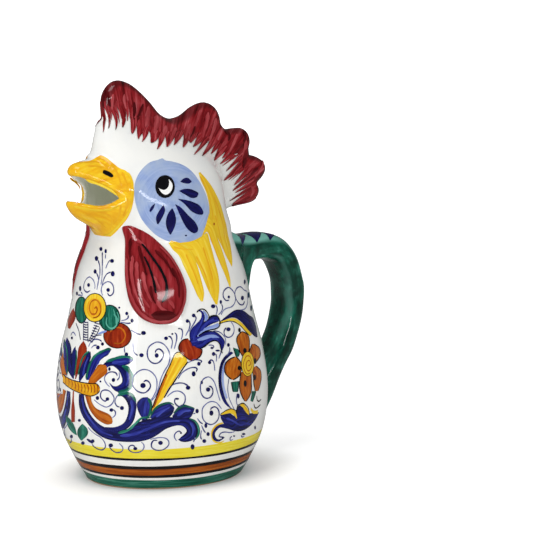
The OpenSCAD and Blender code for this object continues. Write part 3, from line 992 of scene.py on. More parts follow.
def handle_place(u, turn):
    """Places on the handle: u runs from nape to belly, turn goes round it from its far edge over the top."""
    v = np.clip(u, 0, 1)
    c = handle_line(v)
    t = handle_line(np.clip(v + 0.004, 0, 1)) - handle_line(np.clip(v - 0.004, 0, 1))
    t = unit(t)
    out = np.stack([-t[:, 2], np.zeros(len(v)), t[:, 0]], 1)
    near = np.maximum(tube_field(c), 0)
    flare = 1 + FLARE * np.exp(-near / FLARE_FADE)
    thick = HANDLE_T * curve(STRAP, v, 2) * flare
    wide = HANDLE_W * curve(STRAP, v, 1) * flare
    beyond = np.abs(u - v) * BEYOND
    c = c + t * ((u - v) * BEYOND)[:, None]
    wide = wide * (1 - 0.012 * beyond)
    cs, sn = np.cos(turn), np.sin(turn)
    dent = 1 + DENT * np.sin(v * 41 + 2 * cs) * np.sin(3 * turn + v * 13)
    y = wide / 2 * np.sign(cs) * np.abs(cs) ** SECTION_POWER * dent
    o = thick / 2 * np.sign(sn) * np.abs(sn) ** SECTION_POWER * dent
    web = np.exp(-np.maximum(near - WEB_FULL, 0) / WEB_FADE)
    o -= HANDLE_WEB * web * (v < 0.5) * smoothstep(0.0, -0.9, sn)
    o += HANDLE_TAIL * np.exp(-near / TAIL_FADE) * (v > 0.5) * smoothstep(-0.2, 0.8, sn)
    return c + o[:, None] * out + y[:, None] * np.array([0, 1, 0])


def make_handle():
    """The strap with its roots, and its painted light and shade."""
    around = HANDLE_AROUND
    ends = np.linspace(0, HANDLE_ROOT / BEYOND, 7)
    u = np.concatenate([-ends[:0:-1], np.linspace(0, 1, HANDLE_ROWS), 1 + ends[1:]])
    rows = len(u)
    turn = np.linspace(0, 2 * math.pi, around, endpoint=False)
    p = handle_place(np.repeat(u, around), np.tile(turn, rows))
    deep = tube_field(p) < -HANDLE_DEEP
    for _ in range(3):
        g = gradient(tube_field, p[deep])
        p[deep] -= g * (tube_field(p[deep]) + HANDLE_DEEP)[:, None] / np.maximum((g * g).sum(1), 0.3)[:, None]
    tris = split(quads_of(rows, around))
    c = p.reshape(rows, around, 3).mean(1)
    tris, normals = turned_out(tris, vertex_normals(p, tris), p - np.repeat(c, around, 0))
    length = np.cumsum(np.r_[0, steps(c)])
    brush = brush_at(np.tile(turn * 12, rows), np.repeat(length, around), 5.3)
    # The strap's painted light and shade: 0 is the darkest painted shade, 0.5 the plain glaze and 1 the
    # palest painted light. It follows up, the degrees from the strap's edge to its top, with waves along the
    # strap: pale and dark bands round it, a paler top near the upper root, and shade towards the lower end
    u, turn = np.repeat(u, around), np.tile(turn, rows)
    up = np.degrees(np.arctan2(np.sin(turn), np.abs(np.cos(turn))))
    sway = 5 * np.sin(u * 23) + 3 * np.sin(u * 41 + 1)
    painted_light_and_shade = 0.5 + 0.17 * np.exp(-((up + 50 - sway) / 21) ** 2)
    painted_light_and_shade -= (0.14 + 0.26 * smoothstep(0.26, 0.46, u)) * np.exp(-((up + 4 - sway) / 17) ** 2)
    painted_light_and_shade -= 0.34 * np.exp(-((up + 86 - sway) / 10) ** 2)
    painted_light_and_shade += (0.55 * smoothstep(0.3, 0.14, u) + 0.26) * smoothstep(8, 42, up) * smoothstep(0.62, 0.4, u)
    painted_light_and_shade -= 0.2 * smoothstep(0.62, 0.86, u) + 0.22 * smoothstep(-30, -60, up) * smoothstep(0.6, 0.3, u)
    handle.add(p, normals, tris, "teal_glaze", brush, painted_light_and_shade)


# Dark wedges across the handle's top: place along it at its shoulder and at their tip, how far round the tip
# stands from the top in degrees, and half width as a share of the handle's length
HANDLE_STROKES = [(0.095, 0.04, 80, 0.036), (0.185, 0.155, 68, 0.036), (0.262, 0.235, 66, 0.027)]
SHOULDER, STROKE_LIFT = 20, 0.2


def make_handle_strokes():
    """The dark wedges, a little above the strap."""
    for place, tip, round_to, half in HANDLE_STROKES:
        s = np.linspace(-1, 1, 41)
        v = np.linspace(-1, 1, 7)
        f = np.clip((np.abs(s) * round_to - SHOULDER) / (round_to - SHOULDER), 0, 1)[:, None]
        u = place + (tip - place) * f + half * (1 - 0.93 * f) * v
        turn = np.broadcast_to(math.pi / 2 + math.radians(round_to) * s[:, None], u.shape)
        p = handle_place(u.ravel(), turn.ravel())
        tris = split(quads_of(len(s), len(v), closed=False))
        tris, normals = turned_out(tris, vertex_normals(p, tris), p - p.mean(0) + [0, 0, 6])
        across, along = np.tile(v, len(s)), np.repeat(s, len(v))
        brush = brush_at(across * 3, along * 12, 31.0 * place)
        handle.add(p + normals * STROKE_LIFT, normals, tris, "navy", brush, np.abs(across))


make_body()
make_inside()
make_head()
make_wattle(left_wattle, 1)
make_wattle(right_wattle, -1)
make_handle()
make_handle_strokes()


# Painting: each brush stroke is laid on a surface from places named on the photograph.
# Millimetres between the rows and the columns of a stroke's net, each with the fewest and most of them
ROW_STEP, ROW_COUNTS = 0.9, (9, 120)
COL_STEP, COL_COUNTS = 1.1, (3, 40)
# The same between the places of a line and the fewest of them, and how much higher each layer lies
LINE_STEP, LINE_LEAST, LAYER_T = 0.8, 7, 0.03


def leaf_net(edges, pointed):
    """The net between two edges: its points, the brush's way across and along it, and its edge values."""
    size = max(steps(through(e, 4 * len(e))).sum() for e in edges)
    rows = int(np.clip(size / ROW_STEP, *ROW_COUNTS))
    a, b = (through(e, rows) for e in edges)
    gap = np.linalg.norm(a - b, axis=1)
    cols = int(np.clip(gap.max() / COL_STEP + 1, *COL_COUNTS))
    v = np.linspace(0, 1, cols)
    grid = a[:, None] * (1 - v[:, None]) + b[:, None] * v[:, None]
    edge = np.tile(np.abs(2 * v - 1), rows)
    if pointed:
        edge = np.maximum(0.8 * edge, np.repeat(np.linspace(0, 1, rows) ** 3, cols))
    return grid, (gap[:, None] * (v - 0.5)).ravel(), np.repeat(np.linspace(0, size, rows), cols), edge


def line_net(c, n, wide, end, seed):
    """The same for a line with the middle c, which thins at both ends and is a little unsteady."""
    s = np.r_[0, np.cumsum(steps(c))]
    side = unit(np.cross(n, np.gradient(c, axis=0)))
    w = wide + (end - wide) * s / s[-1]
    w *= np.sqrt(np.clip(np.minimum(s, s[-1] - s) / w, 0.03, 1))
    w *= 1 + 0.12 * np.sin(s * 0.9 + seed)
    v = np.array([-0.5, 0, 0.5])
    grid = c[:, None] + side[:, None] * (w[:, None] * v)[..., None]
    return grid, (w[:, None] * v).ravel(), np.repeat(s, len(v)), np.repeat(s / s[-1], len(v))


class Paint:
    """Strokes for one surface, gathered and laid on it together."""

    def __init__(self, field, place, route, lift=0.05, front=2):
        self.field, self.place, self.route, self.lift, self.front = field, place, route, lift, front
        self.items = []

    def leaf(self, glaze_name, left, right, layer=0, both=True, turn=0, kind="leaf"):
        """A filled shape between two edges, on both sides of the pitcher or on the near one alone."""
        self.items.append((kind, glaze_name, [pairs(left), pairs(right)], layer, both, turn))

    def tooth(self, glaze_name, a, b, tip, bend):
        """A pointed stroke from between two places to its tip, darker at its end."""
        a, b, tip = np.array(a), np.array(b), np.array(tip)
        root = (a + b) / 2
        way = tip - root
        left, right = [], []
        for f, share in (
                (-5 / np.linalg.norm(way), 1.05), (0, 1), (0.3, 0.8), (0.6, 0.55), (0.85, 0.32), (1, 0.1)):
            centre = root + way * f + [4 * bend * max(f, 0) * (1 - f), 0]
            left.append(centre + (a - root) * share)
            right.append(centre + (b - root) * share)
        self.leaf(glaze_name, left, right, 1, kind="tooth")

    def line(self, glaze_name, px, wide=0.8, end=None, layer=3, both=True, turn=0):
        """A drawn line, wide mm across at its start and end mm at its end."""
        self.items.append(((wide, wide if end is None else end), glaze_name, [pairs(px)], layer, both, turn))

    def dot(self, glaze_name, x, y, wide, tall, layer=3, both=True, turn=0):
        """A filled oval."""
        a = np.linspace(0, math.pi, 9)
        left = np.stack([x - wide / 2 * np.sin(a), y - tall / 2 * np.cos(a)], 1)
        self.leaf(glaze_name, left, left * [-1, 1] + [2 * x, 0], layer, both, turn)

    def outlined(self, glaze_name, left, right, layer=0, both=True, wide=0.7):
        """A filled shape with both its edges drawn."""
        self.leaf(glaze_name, left, right, layer, both)
        for edge in (left, right):
            self.line("outline", edge, wide, layer=layer + 1, both=both)

    def lay(self):
        """Finds the strokes' places, makes their nets and gives them to the pieces."""
        spots, meets = on_surface(self.field, np.concatenate([e for item in self.items for e in item[2]]))
        shapes, first = [], 0
        for kind, glaze_name, edges, layer, both, turn in self.items:
            kept = []
            for e in edges:
                last = first + len(e)
                kept.append(spots[first:last][meets[first:last]])
                first = last
            if min(len(k) for k in kept) < 2:
                continue
            if turn:
                kept = [turned(k, turn) for k in kept]
            shapes.append((kind, glaze_name, kept, layer, both))
        centres = []
        for kind, _, kept, _, _ in shapes:
            if kind not in ("leaf", "tooth"):
                size = steps(through(kept[0], 8 * len(kept[0]))).sum()
                centres.append(through(kept[0], int(max(LINE_LEAST, size / LINE_STEP))))
        if centres:
            settled, normals = settle(self.field, np.concatenate(centres), 3)
        nets, info, first = [], [], 0
        for kind, glaze_name, kept, layer, both in shapes:
            seed = rng.uniform(0, 50)
            if kind in ("leaf", "tooth"):
                grid, across, along, edge = leaf_net(kept, kind == "tooth")
            else:
                last = first + len(centres.pop(0))
                grid, across, along, edge = line_net(settled[first:last], normals[first:last], *kind, seed)
                first = last
            nets.append(grid.reshape(-1, 3))
            brush = brush_at(across, along, seed)
            info.append((grid.shape[:2], brush, edge, glaze_name, self.lift + LAYER_T * layer, both))
        points, normals = self.place(np.concatenate(nets))
        first = 0
        for shape, brush, edge, glaze_name, lift, both in info:
            last = first + len(brush)
            n = normals[first:last]
            p = points[first:last] + lift * n
            first = last
            tris = split(quads_of(*shape, closed=False))
            a, b, c = (p[tris[:, k]] for k in range(3))
            facing = (np.cross(b - a, c - a) * n[tris[:, 0]]).sum(1)
            tris = np.where(facing[:, None] < 0, tris[:, ::-1], tris)
            tris = tris[np.abs(facing) > 1e-7]
            aside = both and np.degrees(np.arctan2(-p[:, 1], -p[:, 0])).mean() % 360 > self.front
            for flip in (1, -1) if aside else (1,):
                self.route(p * [1, flip, 1], n * [1, flip, 1], tris[:, ::flip], glaze_name, brush, edge, flip)


# How far from the camera a line of sight starts to look for a surface, and how far it may pass by it
START_AWAY, PASS_BY = 1560.0, 1.5


def on_surface(field, px):
    """Where lines of sight meet a surface or pass nearest to it, and whether they come near enough."""
    d = unit(LOOK + ((px[:, :1] - FRAME_PX / 2) * RIGHT - (px[:, 1:] - FRAME_PX / 2) * UP) / FOCAL_PX)
    t = np.full(len(px), START_AWAY)
    best, at = np.full(len(px), 1e9), t.copy()
    for _ in range(70):
        f = field(CAMERA_AT + d * t[:, None])
        nearer = np.abs(f) < best
        best, at = np.where(nearer, np.abs(f), best), np.where(nearer, t, at)
        t += np.clip(f * 0.8, -4, 12)
    return CAMERA_AT + d * at[:, None], best < PASS_BY


def turned(p, degrees):
    """Points carried round the body's axis."""
    c, s = math.cos(math.radians(degrees)), math.sin(math.radians(degrees))
    shift = p[:, 2] * LEAN_SIN
    x = p[:, 0] - shift
    out = np.stack([x * c - p[:, 1] * s + shift, x * s + p[:, 1] * c, p[:, 2]], 1)
    return settle(body_field, out, 4)[0]


def on_body(q, m, t, glaze_name, brush, edge, flip):
    """Gives a stroke to belly, neck and head by height."""
    axial = to_axis(q[t].mean(1))[1]
    for piece, low, high in ((belly, -TOP, BELLY_H), (neck, BELLY_H, BODY_H), (head, BODY_H, TOP)):
        piece.add(q, m, t[(axial >= low) & (axial < high)], glaze_name, brush, edge)


def onto(piece):
    """A route that gives every stroke to one piece."""
    def route(q, m, t, glaze_name, brush, edge, flip):
        piece.add(q, m, t, glaze_name, brush, edge)
    return route


jug = Paint(tube_field, lambda p: settle(tube_field, p, 3), on_body, front=14)

# All places below are pixels of the photograph, as x and y in turn.
# Sprigs: a dot's x, y, width and height, then the places of the thin line that leaves it
NECK_SPRIGS = [
    [101, 249, 3, 4, 102.3, 252, 102.5, 262, 102.2, 275, 101, 285],
    [105.8, 251.2, 2.4, 4.5, 105.6, 254, 105.4, 259],
    [96.6, 258.5, 3.5, 5, 98, 260, 99.8, 266, 99.9, 275, 98, 283, 97, 290],
    [112.1, 261, 4, 4, 110, 260, 107.5, 264, 105.7, 269],
    [95.2, 271.5, 3, 4.5, 96.5, 272.5, 98.2, 277, 98.6, 281, 97.5, 287],
    [112.8, 273.8, 4, 5.5, 111, 272, 107, 274, 104, 279, 102.3, 285, 101.2, 291, 103, 295.5],
    [88.7, 285, 2.8, 4, 90.5, 290.5, 88, 292, 86, 291.7, 84, 289, 84, 285, 85, 281.5, 87, 278.5, 89.5, 277,
        91.5, 278, 93.6, 280.5, 95, 285, 94.8, 289],
    [108.2, 290, 3.5, 4, 107.5, 293, 109, 295.3, 111, 295.5, 113.3, 293, 113.8, 289, 112.8, 285, 110.8, 282.5,
        108, 281.7, 105, 282.8, 102.5, 285.5, 101.5, 289, 101.8, 293],
    [80.3, 288.5, 2.2, 5.5, 81, 292, 83, 294.5],
    [77, 293.5, 2, 4, 78, 295, 83, 295.5],
    [72, 338, 2, 3, 71, 336, 72, 333, 74, 332.5, 76, 336],
    [102.5, 344, 3, 3.5, 102, 341.5, 99, 339.7, 95, 339.3, 91, 342, 88.5, 347],
    [98, 347.5, 3.8, 4, 97, 345.3, 94, 345.5, 91, 348.5],
    [66, 407, 2.4, 4, 66, 404, 68, 398, 70, 391]]
SIDE_SPRIGS = [
    [126.8, 313.5, 3, 3.5, 128.3, 315, 128, 318, 125, 320, 121, 320.5],
    [132.2, 320.7, 3.2, 4, 131, 323, 127, 323.3, 120, 322],
    [143.5, 333, 5, 4, 141, 334.5, 137, 333.5, 131, 330],
    [126.5, 354.5, 3.8, 4, 125, 353, 124.5, 350, 124.5, 347],
    [141.5, 355.2, 4.5, 4, 138, 355.5, 135, 353.5, 133.5, 350, 133, 342],
    [113.5, 380, 3.5, 4, 117, 380.5, 119.5, 377, 119, 372],
    [109.5, 369, 2.5, 4, 117.5, 376, 116, 373, 112, 371.8, 108, 373, 105, 376.5, 104.7, 380, 107, 384,
        110, 387],
    [122, 408, 4, 4, 120, 407, 117, 406, 115, 402, 116.5, 397, 120, 393.5],
    [111.5, 410, 4, 3.6, 113.5, 409.5, 115.5, 412, 115, 415.5, 112, 418],
    [107.5, 399, 3.6, 3.6, 107, 400.5, 104.5, 401, 101.5, 398.5, 100.5, 395, 102, 391, 106, 390, 110, 391.5,
        113.5, 396, 114, 400, 111.5, 404.5, 107, 407, 103, 406, 98, 403, 94, 399.5],
    [143, 385.5, 5.5, 5.2, 143.5, 382, 146, 380.5, 149, 382, 150.5, 386, 148.5, 390, 144.5, 392.8, 140, 392.3,
        136, 390, 133, 386, 132.5, 380, 135, 374.5, 140, 370.5, 145, 369.5, 150, 371, 154, 374.5, 156.5, 379,
        157, 385, 156, 391, 153, 397, 151, 400],
    [92.8, 441, 3.6, 3.4, 92, 443.5, 94, 446.5, 99, 449.5, 103, 449.5, 105.5, 446.5, 104.5, 442, 101, 437.5,
        96, 434.5, 92, 431.5, 88, 427],
    [110.8, 445.3, 4.5, 4, 109.5, 447, 112, 450, 116.5, 452.5, 121, 451.8, 123, 449, 122, 446, 119, 443],
    [135.3, 448.5, 4, 3.4, 135, 447, 133.5, 445.5, 131, 445.3, 129, 447, 128.8, 449.5, 132, 452, 137, 452.5,
        141.5, 451, 144, 447.5, 143.5, 444, 141, 442],
    [166, 338.3, 4, 3.6, 168, 336.5, 170.5, 337, 172.3, 341, 172, 345, 171, 349],
    [172.3, 334, 2, 2, 174.5, 332.5, 176.5, 335, 176.5, 340, 175, 346, 174.3, 349],
    [179, 328.6, 2, 1.6, 180, 328.3, 182, 330, 182.5, 333, 182, 337, 181, 340],
    [187.3, 321, 3.4, 3.8, 188.5, 320, 190, 324, 189, 329, 187, 333, 185.5, 336],
    [193.6, 315.5, 3.6, 3.8, 195.3, 316, 196, 319, 193.5, 324, 191, 328, 189, 332],
    [213, 306.3, 4.6, 4, 215.5, 305, 217, 308, 216.8, 312, 215.5, 316],
    [220.7, 302, 2.4, 4, 221.5, 304, 222.5, 308, 221, 312, 218, 315],
    [156.7, 355.5, 4, 4.6, 155.3, 353, 156, 350.5, 158.5, 349, 161, 350, 163.3, 353, 163, 357, 159.5, 362,
        155, 363.5, 151, 362, 148, 358, 147.3, 352, 149, 347, 153, 343.6, 158, 342, 164, 344.5, 168.5, 350.5,
        170, 357, 168.5, 364, 165, 370, 162, 376, 160, 382, 158.5, 388, 156, 395, 151.5, 401],
    [228.3, 329.3, 4.4, 4, 226, 327.5, 224, 331, 224.5, 335, 227.5, 337.3, 231, 336.5, 233.5, 333, 234, 328.5,
        232.5, 324, 230.5, 322],
    [228.3, 345, 2.8, 3.8, 229.3, 347, 229.8, 350, 228.5, 353, 226.5, 356],
    [213.5, 354, 3.4, 4, 215.5, 353.5, 216.5, 357, 216, 362],
    [209.5, 362.5, 3.4, 3.4, 209, 361, 211, 360, 213, 361, 214, 364, 214.5, 368, 214.8, 371],
    [198.8, 363.8, 3.6, 4, 200.5, 363, 201.5, 361, 199, 360, 194, 359.8, 190.5, 361.5, 187.5, 363],
    [193.6, 373.8, 4, 5.4, 196, 372, 197, 369, 195, 367.5, 190, 368, 185, 370.5, 181, 374, 178, 379],
    [188, 387.7, 4.6, 4.2, 188, 386, 186, 384.5, 182, 383, 176, 383.5, 171, 386, 167, 392, 164, 398],
    [177, 398.8, 4, 2, 176, 398, 174.8, 399.5, 174.8, 402.5, 177, 405.5, 180, 406.5, 183.5, 404, 185, 401,
        185, 396, 182, 392.5, 178, 391, 174, 391.5, 170, 394, 167, 397],
    [208, 389.5, 4.4, 4.4, 208.5, 386.5, 210.5, 386.5, 212.5, 389, 212.7, 393, 210.5, 397, 207, 398.3,
        203.5, 397, 201, 393, 200.3, 388, 200.6, 384, 203, 379.5, 206, 377.5, 209, 377, 212.5, 379.5,
        215, 384, 216.5, 389, 218.5, 396, 220, 401],
    [211.3, 413, 4, 5.4, 210.5, 410, 211.5, 408, 214.5, 406.8, 217.5, 408.5, 219, 412.5, 218.5, 418,
        215.5, 422.5, 211, 424.5, 206.5, 423, 203, 419, 202, 413, 202.7, 408, 205.5, 404.5, 208.5, 402.3,
        212, 401.5, 216, 402.5, 219, 405.5, 221.5, 409],
    [205.8, 425.5, 3, 5, 203, 424, 200, 422, 197, 418],
    [208, 434, 3.4, 4, 205.5, 433, 203, 429, 201.5, 425],
    [204.2, 441, 4, 3.8, 201.5, 439.5, 200.5, 436, 201.5, 430],
    [192.5, 446.8, 4, 5.4, 193.5, 442, 195, 437],
    [197, 411, 3.4, 4.6, 195.5, 413, 193, 414],
    [181, 433, 2, 2, 181, 432.5, 179, 431, 176, 432.5, 174.3, 435.5, 175, 438.5, 177, 441],
    [160.5, 442.8, 4.6, 4.2, 157.5, 440.4, 153.5, 440.5, 151.5, 444, 152, 447.5, 156, 450, 162, 450, 167, 447,
        169, 443, 167, 439, 162, 437.5, 156, 438, 150, 439.5],
    [211.8, 348, 3, 2.4, 213.5, 348, 213.5, 346, 211, 345, 208, 345.5],
    [217.6, 350.6, 4.4, 2, 220, 350.8, 221, 352, 219.5, 356, 218.5, 359],
    [228.7, 297, 2.4, 3, 229, 300, 226, 300.5, 223.3, 297, 223.3, 292, 226, 288.5, 229, 287.5, 232, 290,
        234.5, 294, 235.5, 299, 234, 304, 231, 307, 226, 308.5, 223, 311, 221, 315],
    [242.3, 298, 3, 4.6, 244.5, 301, 243, 304.5, 240, 304.5, 237, 301, 235, 296, 235, 291.5, 237.5, 287.5,
        241, 287, 244, 290, 247, 292, 247.5, 299, 247, 305, 244.5, 309, 240, 310],
    [223, 437.5, 2.6, 2, 222.5, 436.4, 221, 437, 219, 436, 221, 433, 225, 432, 230, 432.5, 235, 431.5],
    [243.5, 434, 3.6, 2.2, 241, 435, 242, 437, 244.5, 436],
    [234, 436, 2, 1.6, 232, 436, 230, 438, 230.5, 440.5, 233, 439],
    [238.3, 396, 2.6, 5, 237.3, 393, 236.5, 398, 236.5, 403, 238, 406]]
# The back of the belly gets the sprigs beyond BACK_FROM once more, carried round by BACK_TURN degrees
BACK_FROM, BACK_TURN = 170, 84
for rows, side in ((NECK_SPRIGS, False), (SIDE_SPRIGS, True)):
    for row in rows:
        for turn in (0, BACK_TURN) if side and row[0] > BACK_FROM else (0,):
            jug.dot("navy", *row[:4], both=side, turn=turn)
            jug.line("line_blue", row[4:], 0.95, 0.6, both=side, turn=turn)
for x, y, wide, tall in ((119.3, 307.7, 2, 2), (97.5, 398, 3.5, 4), (100.5, 381.5, 2, 2),
        (71.5, 436.5, 3, 3.6), (83, 443, 3.6, 3.6), (79.5, 420.3, 3, 3), (255, 427.5, 1.6, 4),
        (201.6, 382.4, 2.6, 3.6), (244.6, 282, 1.8, 5), (248.6, 295, 1.8, 6), (251, 308, 1.8, 6)):
    jug.dot("navy", x, y, wide, tall)

# The fruit on the breast and the ticked fan below it
for glaze_name, x, y, wide, tall, layer in (("red_brown", 117.5, 335.5, 27, 24.5, 0),
        ("leaf_green", 109.5, 318, 20.4, 25, 2), ("leaf_green", 81.5, 310, 11.5, 25.5, 2),
        ("flower_yellow", 95, 307.7, 21.4, 27.6, 4)):
    jug.dot("outline", x, y, wide + 1.6, tall + 1.8, layer, both=False)
    jug.dot(glaze_name, x, y, wide, tall, layer + 1, both=False)
jug.dot("feather_orange", 94.6, 308.5, 15.5, 20.5, 6, both=False)
jug.line("orange_brown", [94.5, 309, 96.4, 307, 97.5, 310, 95.5, 314, 91.5, 313.5, 89.8, 308, 91.5, 302,
    96, 300, 100, 304, 101, 311, 98, 316.5, 93, 318], 1.2, 0.8, 7, both=False)
jug.line("pale_green", [114, 314, 117, 319, 116, 326, 111, 328.5, 106.5, 324,
    107, 317], 1.3, 0.8, 4, both=False)
jug.line("orange_brown", [110, 332, 115, 327.5, 122, 329, 125.5, 336, 121, 343,
    114, 343], 1.4, 0.8, 2, both=False)
jug.leaf("red_brown", [73.5, 308, 70, 314, 68, 320, 68, 328],
    [73.5, 308, 75.5, 314, 75, 320, 70, 329], both=False)
for start, end in (((117, 312), (118.5, 322)), ((113.5, 309), (116, 324))):
    jug.line("pale_green", [start, (start[0] + 2, (start[1] + end[1]) / 2), end], 0.7, 0.5, 4, both=False)
for k in range(8):
    y, far = 321.5 + 2.5 * k, 20.5 - 2.5 * k
    jug.line("navy", [83.5, y, 86, y + 1, 88.6, y + 0.6], 0.9, 0.6, both=False)
    jug.line("navy", [88 + far * 0.32, y + 1.2, 91.4 + far * 0.44, y + 3], 0.9, 0.6, both=False)
for way in ([83.5, 322, 83.5, 341], [88, 322, 88, 342], [88, 342, 93, 333, 97, 325],
        [91.5, 343, 96.5, 335, 100, 327], [76, 323, 79, 331, 80.5, 340], [90, 341, 95, 336, 102, 335]):
    jug.line("navy", way, 0.7, both=False)
jug.line("pale_blue", [98, 334, 102.5, 332.3, 107, 331], 1.5, 1.3, both=False)

# The leaves that spring from the breast
ACANTHUS = [
    ("leaf_blue", [67, 337, 64.5, 345, 63.5, 353, 64.5, 362, 68, 371, 73, 379],
        [67, 337, 70, 343, 71.5, 350, 71.5, 360, 72, 370, 73.5, 379], False),
    ("leaf_blue", [75.5, 346, 72.5, 351, 71, 358, 71.5, 368, 73, 379],
        [75.5, 346, 76.2, 353, 76, 361, 74.8, 370, 73.8, 379], False),
    ("orange_brown", [63, 352, 61.5, 360, 62.5, 366, 66, 375], [63, 352, 64, 360, 65, 368, 67, 375], False),
    ("red_brown", [83.5, 341, 79.5, 346, 78, 351, 77.5, 358, 76, 369, 75, 379],
        [83.5, 341, 86, 345, 87, 350, 85.5, 358, 80, 369, 76, 379], False),
    ("leaf_blue", [90, 351.5, 84, 357, 81, 365, 79, 375, 79, 382],
        [90.5, 351.5, 91, 357, 89.5, 363, 88, 370, 80, 382], False),
    ("orange_brown", [105.5, 365, 99, 364.5, 95, 370, 90, 378, 88, 383],
        [107, 367, 107, 373, 100, 379, 94, 384, 88, 384], True),
    ("lily_blue", [86, 380, 89, 368, 92, 360, 96, 355, 101, 352.5, 107, 350, 111, 350], [92, 380, 95, 370,
        100, 361, 104, 357.5, 108, 355, 110, 352, 111, 350.5], True),
    ("lily_blue", [96, 378, 101, 368, 105, 362.5, 110, 361, 118, 358.5, 125, 357.5, 131, 358.5, 133, 360],
        [98, 379, 104, 371, 109, 366.5, 115, 366, 121, 366, 128, 364.5, 131, 362.5, 133, 360.5], True),
    ("leaf_blue", [109, 364, 116, 364.5, 122, 366, 127, 368, 131, 373, 132, 381, 130, 388, 125, 391, 118, 392,
        113, 389, 109, 382.5], [108, 366, 111, 365.5, 114, 366.5, 119, 371, 122, 378, 121.5, 383, 117, 386,
        113.5, 386, 112, 385, 110.5, 383.5, 109, 382.5], True),
    ("orange_brown", [57, 393, 56.6, 400, 58, 408], [63, 394, 61, 401, 58.5, 408], False),
    ("red_brown", [73, 391, 72.3, 400, 71.3, 410, 71.5, 422], [74.2, 391, 74, 400, 75, 410, 75, 422], False),
    ("orange_brown", [85, 395, 87, 402, 90, 410, 96, 418, 103, 423, 108, 424.6, 112, 423.6], [91, 395,
        92, 402, 96, 408, 102, 411, 108, 413.6, 111.6, 417, 112.8, 421.5], True),
    ("leaf_blue", [79, 394, 79, 405, 82, 415, 88, 424, 95, 432, 104, 438, 115, 441, 130, 442, 140, 441.5,
        150, 439], [84, 394, 85, 402, 88, 410, 93, 418, 100, 424.5, 107, 428, 115, 430, 127, 429, 136, 423,
        150, 418.5], True),
    ("leaf_blue", [105, 432, 118, 432.5, 128, 428, 134, 420, 136.5, 408, 136, 402, 133, 396, 127, 392,
        121, 393, 119, 396.5], [105, 427, 115, 427, 123, 423.5, 127, 417, 128.5, 408, 126.8, 402, 124, 398,
        121.5, 396.2, 119.6, 396.2, 118.8, 397], True),
    ("lily_blue", [147.5, 397, 141.5, 398, 137, 403, 137.5, 409, 140, 415, 143, 419], [148, 397.5, 150.5, 403,
        151, 409, 149, 415, 147, 418, 146, 420], True),
    ("leaf_blue", [142, 418.5, 150, 419, 160, 417, 170, 417, 180, 418, 190, 418.5, 195, 422, 198, 429,
        197, 436, 192, 440.5, 186, 442, 181, 441.5, 178, 439.5], [140, 441.5, 150, 439, 158, 434.5,
        165, 429.5, 171, 427, 177, 425.5, 182, 426, 185.5, 428.5, 186.5, 431.5, 184, 434.5, 181, 437,
        179.5, 438.5, 178, 439.5], True),
    ("leaf_blue", [150, 418, 153, 412, 158, 407, 164, 404, 170, 403.5, 174, 407], [152, 419, 158, 419,
        164, 419, 169, 417.5, 173, 413, 174.5, 408], True),
    ("leaf_blue", [172, 416, 176, 412, 181, 408, 185.5, 406.5, 190, 407, 194.5, 408], [174, 419, 180, 419,
        186, 419, 190.5, 417.5, 193, 413.5, 194.5, 409], True),
    ("leaf_green", [82, 424, 78, 429, 77.6, 435, 81, 440.5],
        [83, 424, 87.5, 429, 87.5, 435, 82, 440.5], False),
    ("leaf_green", [66, 415, 67, 424, 71, 431, 76, 435], [66, 415, 71, 420, 75, 427, 77, 435], False)]
for glaze_name, left, right, side in ACANTHUS:
    jug.leaf(glaze_name, left, right, 0 if glaze_name.endswith("blue") else 2, side)
GREEN_EDGES = [
    [1.6, 76.3, 350, 76.6, 358, 75.8, 367, 74.5, 376],
    [1.8, 89.5, 351.3, 83.5, 356.5, 80.4, 365, 78.4, 375],
    [2, 86, 379, 89, 367, 92.5, 359, 96.5, 354.6, 101, 352, 108, 349, 111.5, 350],
    [2, 106, 361.8, 111, 360, 118, 357.6, 125, 356.6, 131, 357.8, 133, 360],
    [3, 122, 366, 127, 368.3, 131, 374, 131.8, 381, 129.8, 387.6, 124.5, 391, 118, 392.3],
    [2.4, 117.5, 396, 121, 393.6, 127, 393, 132.6, 395.6, 136, 402],
    [2, 148, 398, 150.7, 403, 151, 409, 149.3, 415, 146.5, 419],
    [1.8, 118, 433, 128, 430, 135, 424, 142, 418, 150, 417.5]]
for k, (wide, *way) in enumerate(GREEN_EDGES):
    jug.line("leaf_green", way, wide, wide * 0.7, 3, both=k > 1)
for left, right in (([189, 418, 195, 420, 199, 425.5, 200, 431.5, 198.5, 436.5, 195, 440], [189, 418.8,
        194, 421.5, 197, 426, 197.8, 431.5, 196.8, 436, 194.5, 440]), ([150, 417, 153, 409.5, 158, 405,
        164, 402.5, 170, 402, 174, 404.5], [150.5, 418, 154, 411.5, 159, 407, 164.5, 404.5, 170, 403.5,
        174, 405.5]), ([173.5, 412.5, 178, 407, 183, 404.3, 188, 405.5, 194, 407.5],
        [174, 414, 179, 409.5, 184, 407, 189, 407.5, 194, 408.5])):
    jug.leaf("leaf_green", left, right, 3)
for way in ([83, 376, 85, 366, 88.5, 357], [97, 365, 101, 357, 107, 353], [112, 363, 120, 362, 127, 361],
        [127, 371, 128.5, 379, 126, 386], [82, 398, 85, 411, 92, 422, 101, 431, 113, 436],
        [131, 400, 132.5, 409, 129, 420], [146, 402, 145, 409, 145, 415], [156, 417, 163, 411, 170, 407],
        [177, 416, 184, 411.5, 191, 410.5], [120, 436, 135, 434, 150, 428, 165, 422, 180, 421],
        [190, 422, 193.5, 428, 192, 436]):
    jug.line("mid_blue", way, 2.2, 1.0, 1)
ROPE = [63, 374, 70, 379, 80, 382, 90, 383.5, 97, 384, 100, 388]
ROPE_LOW = [63, 382, 70, 388, 80, 393, 90, 396, 97, 394, 100, 390.5]
jug.leaf("rope_gold", ROPE, ROPE_LOW, 4, both=False)
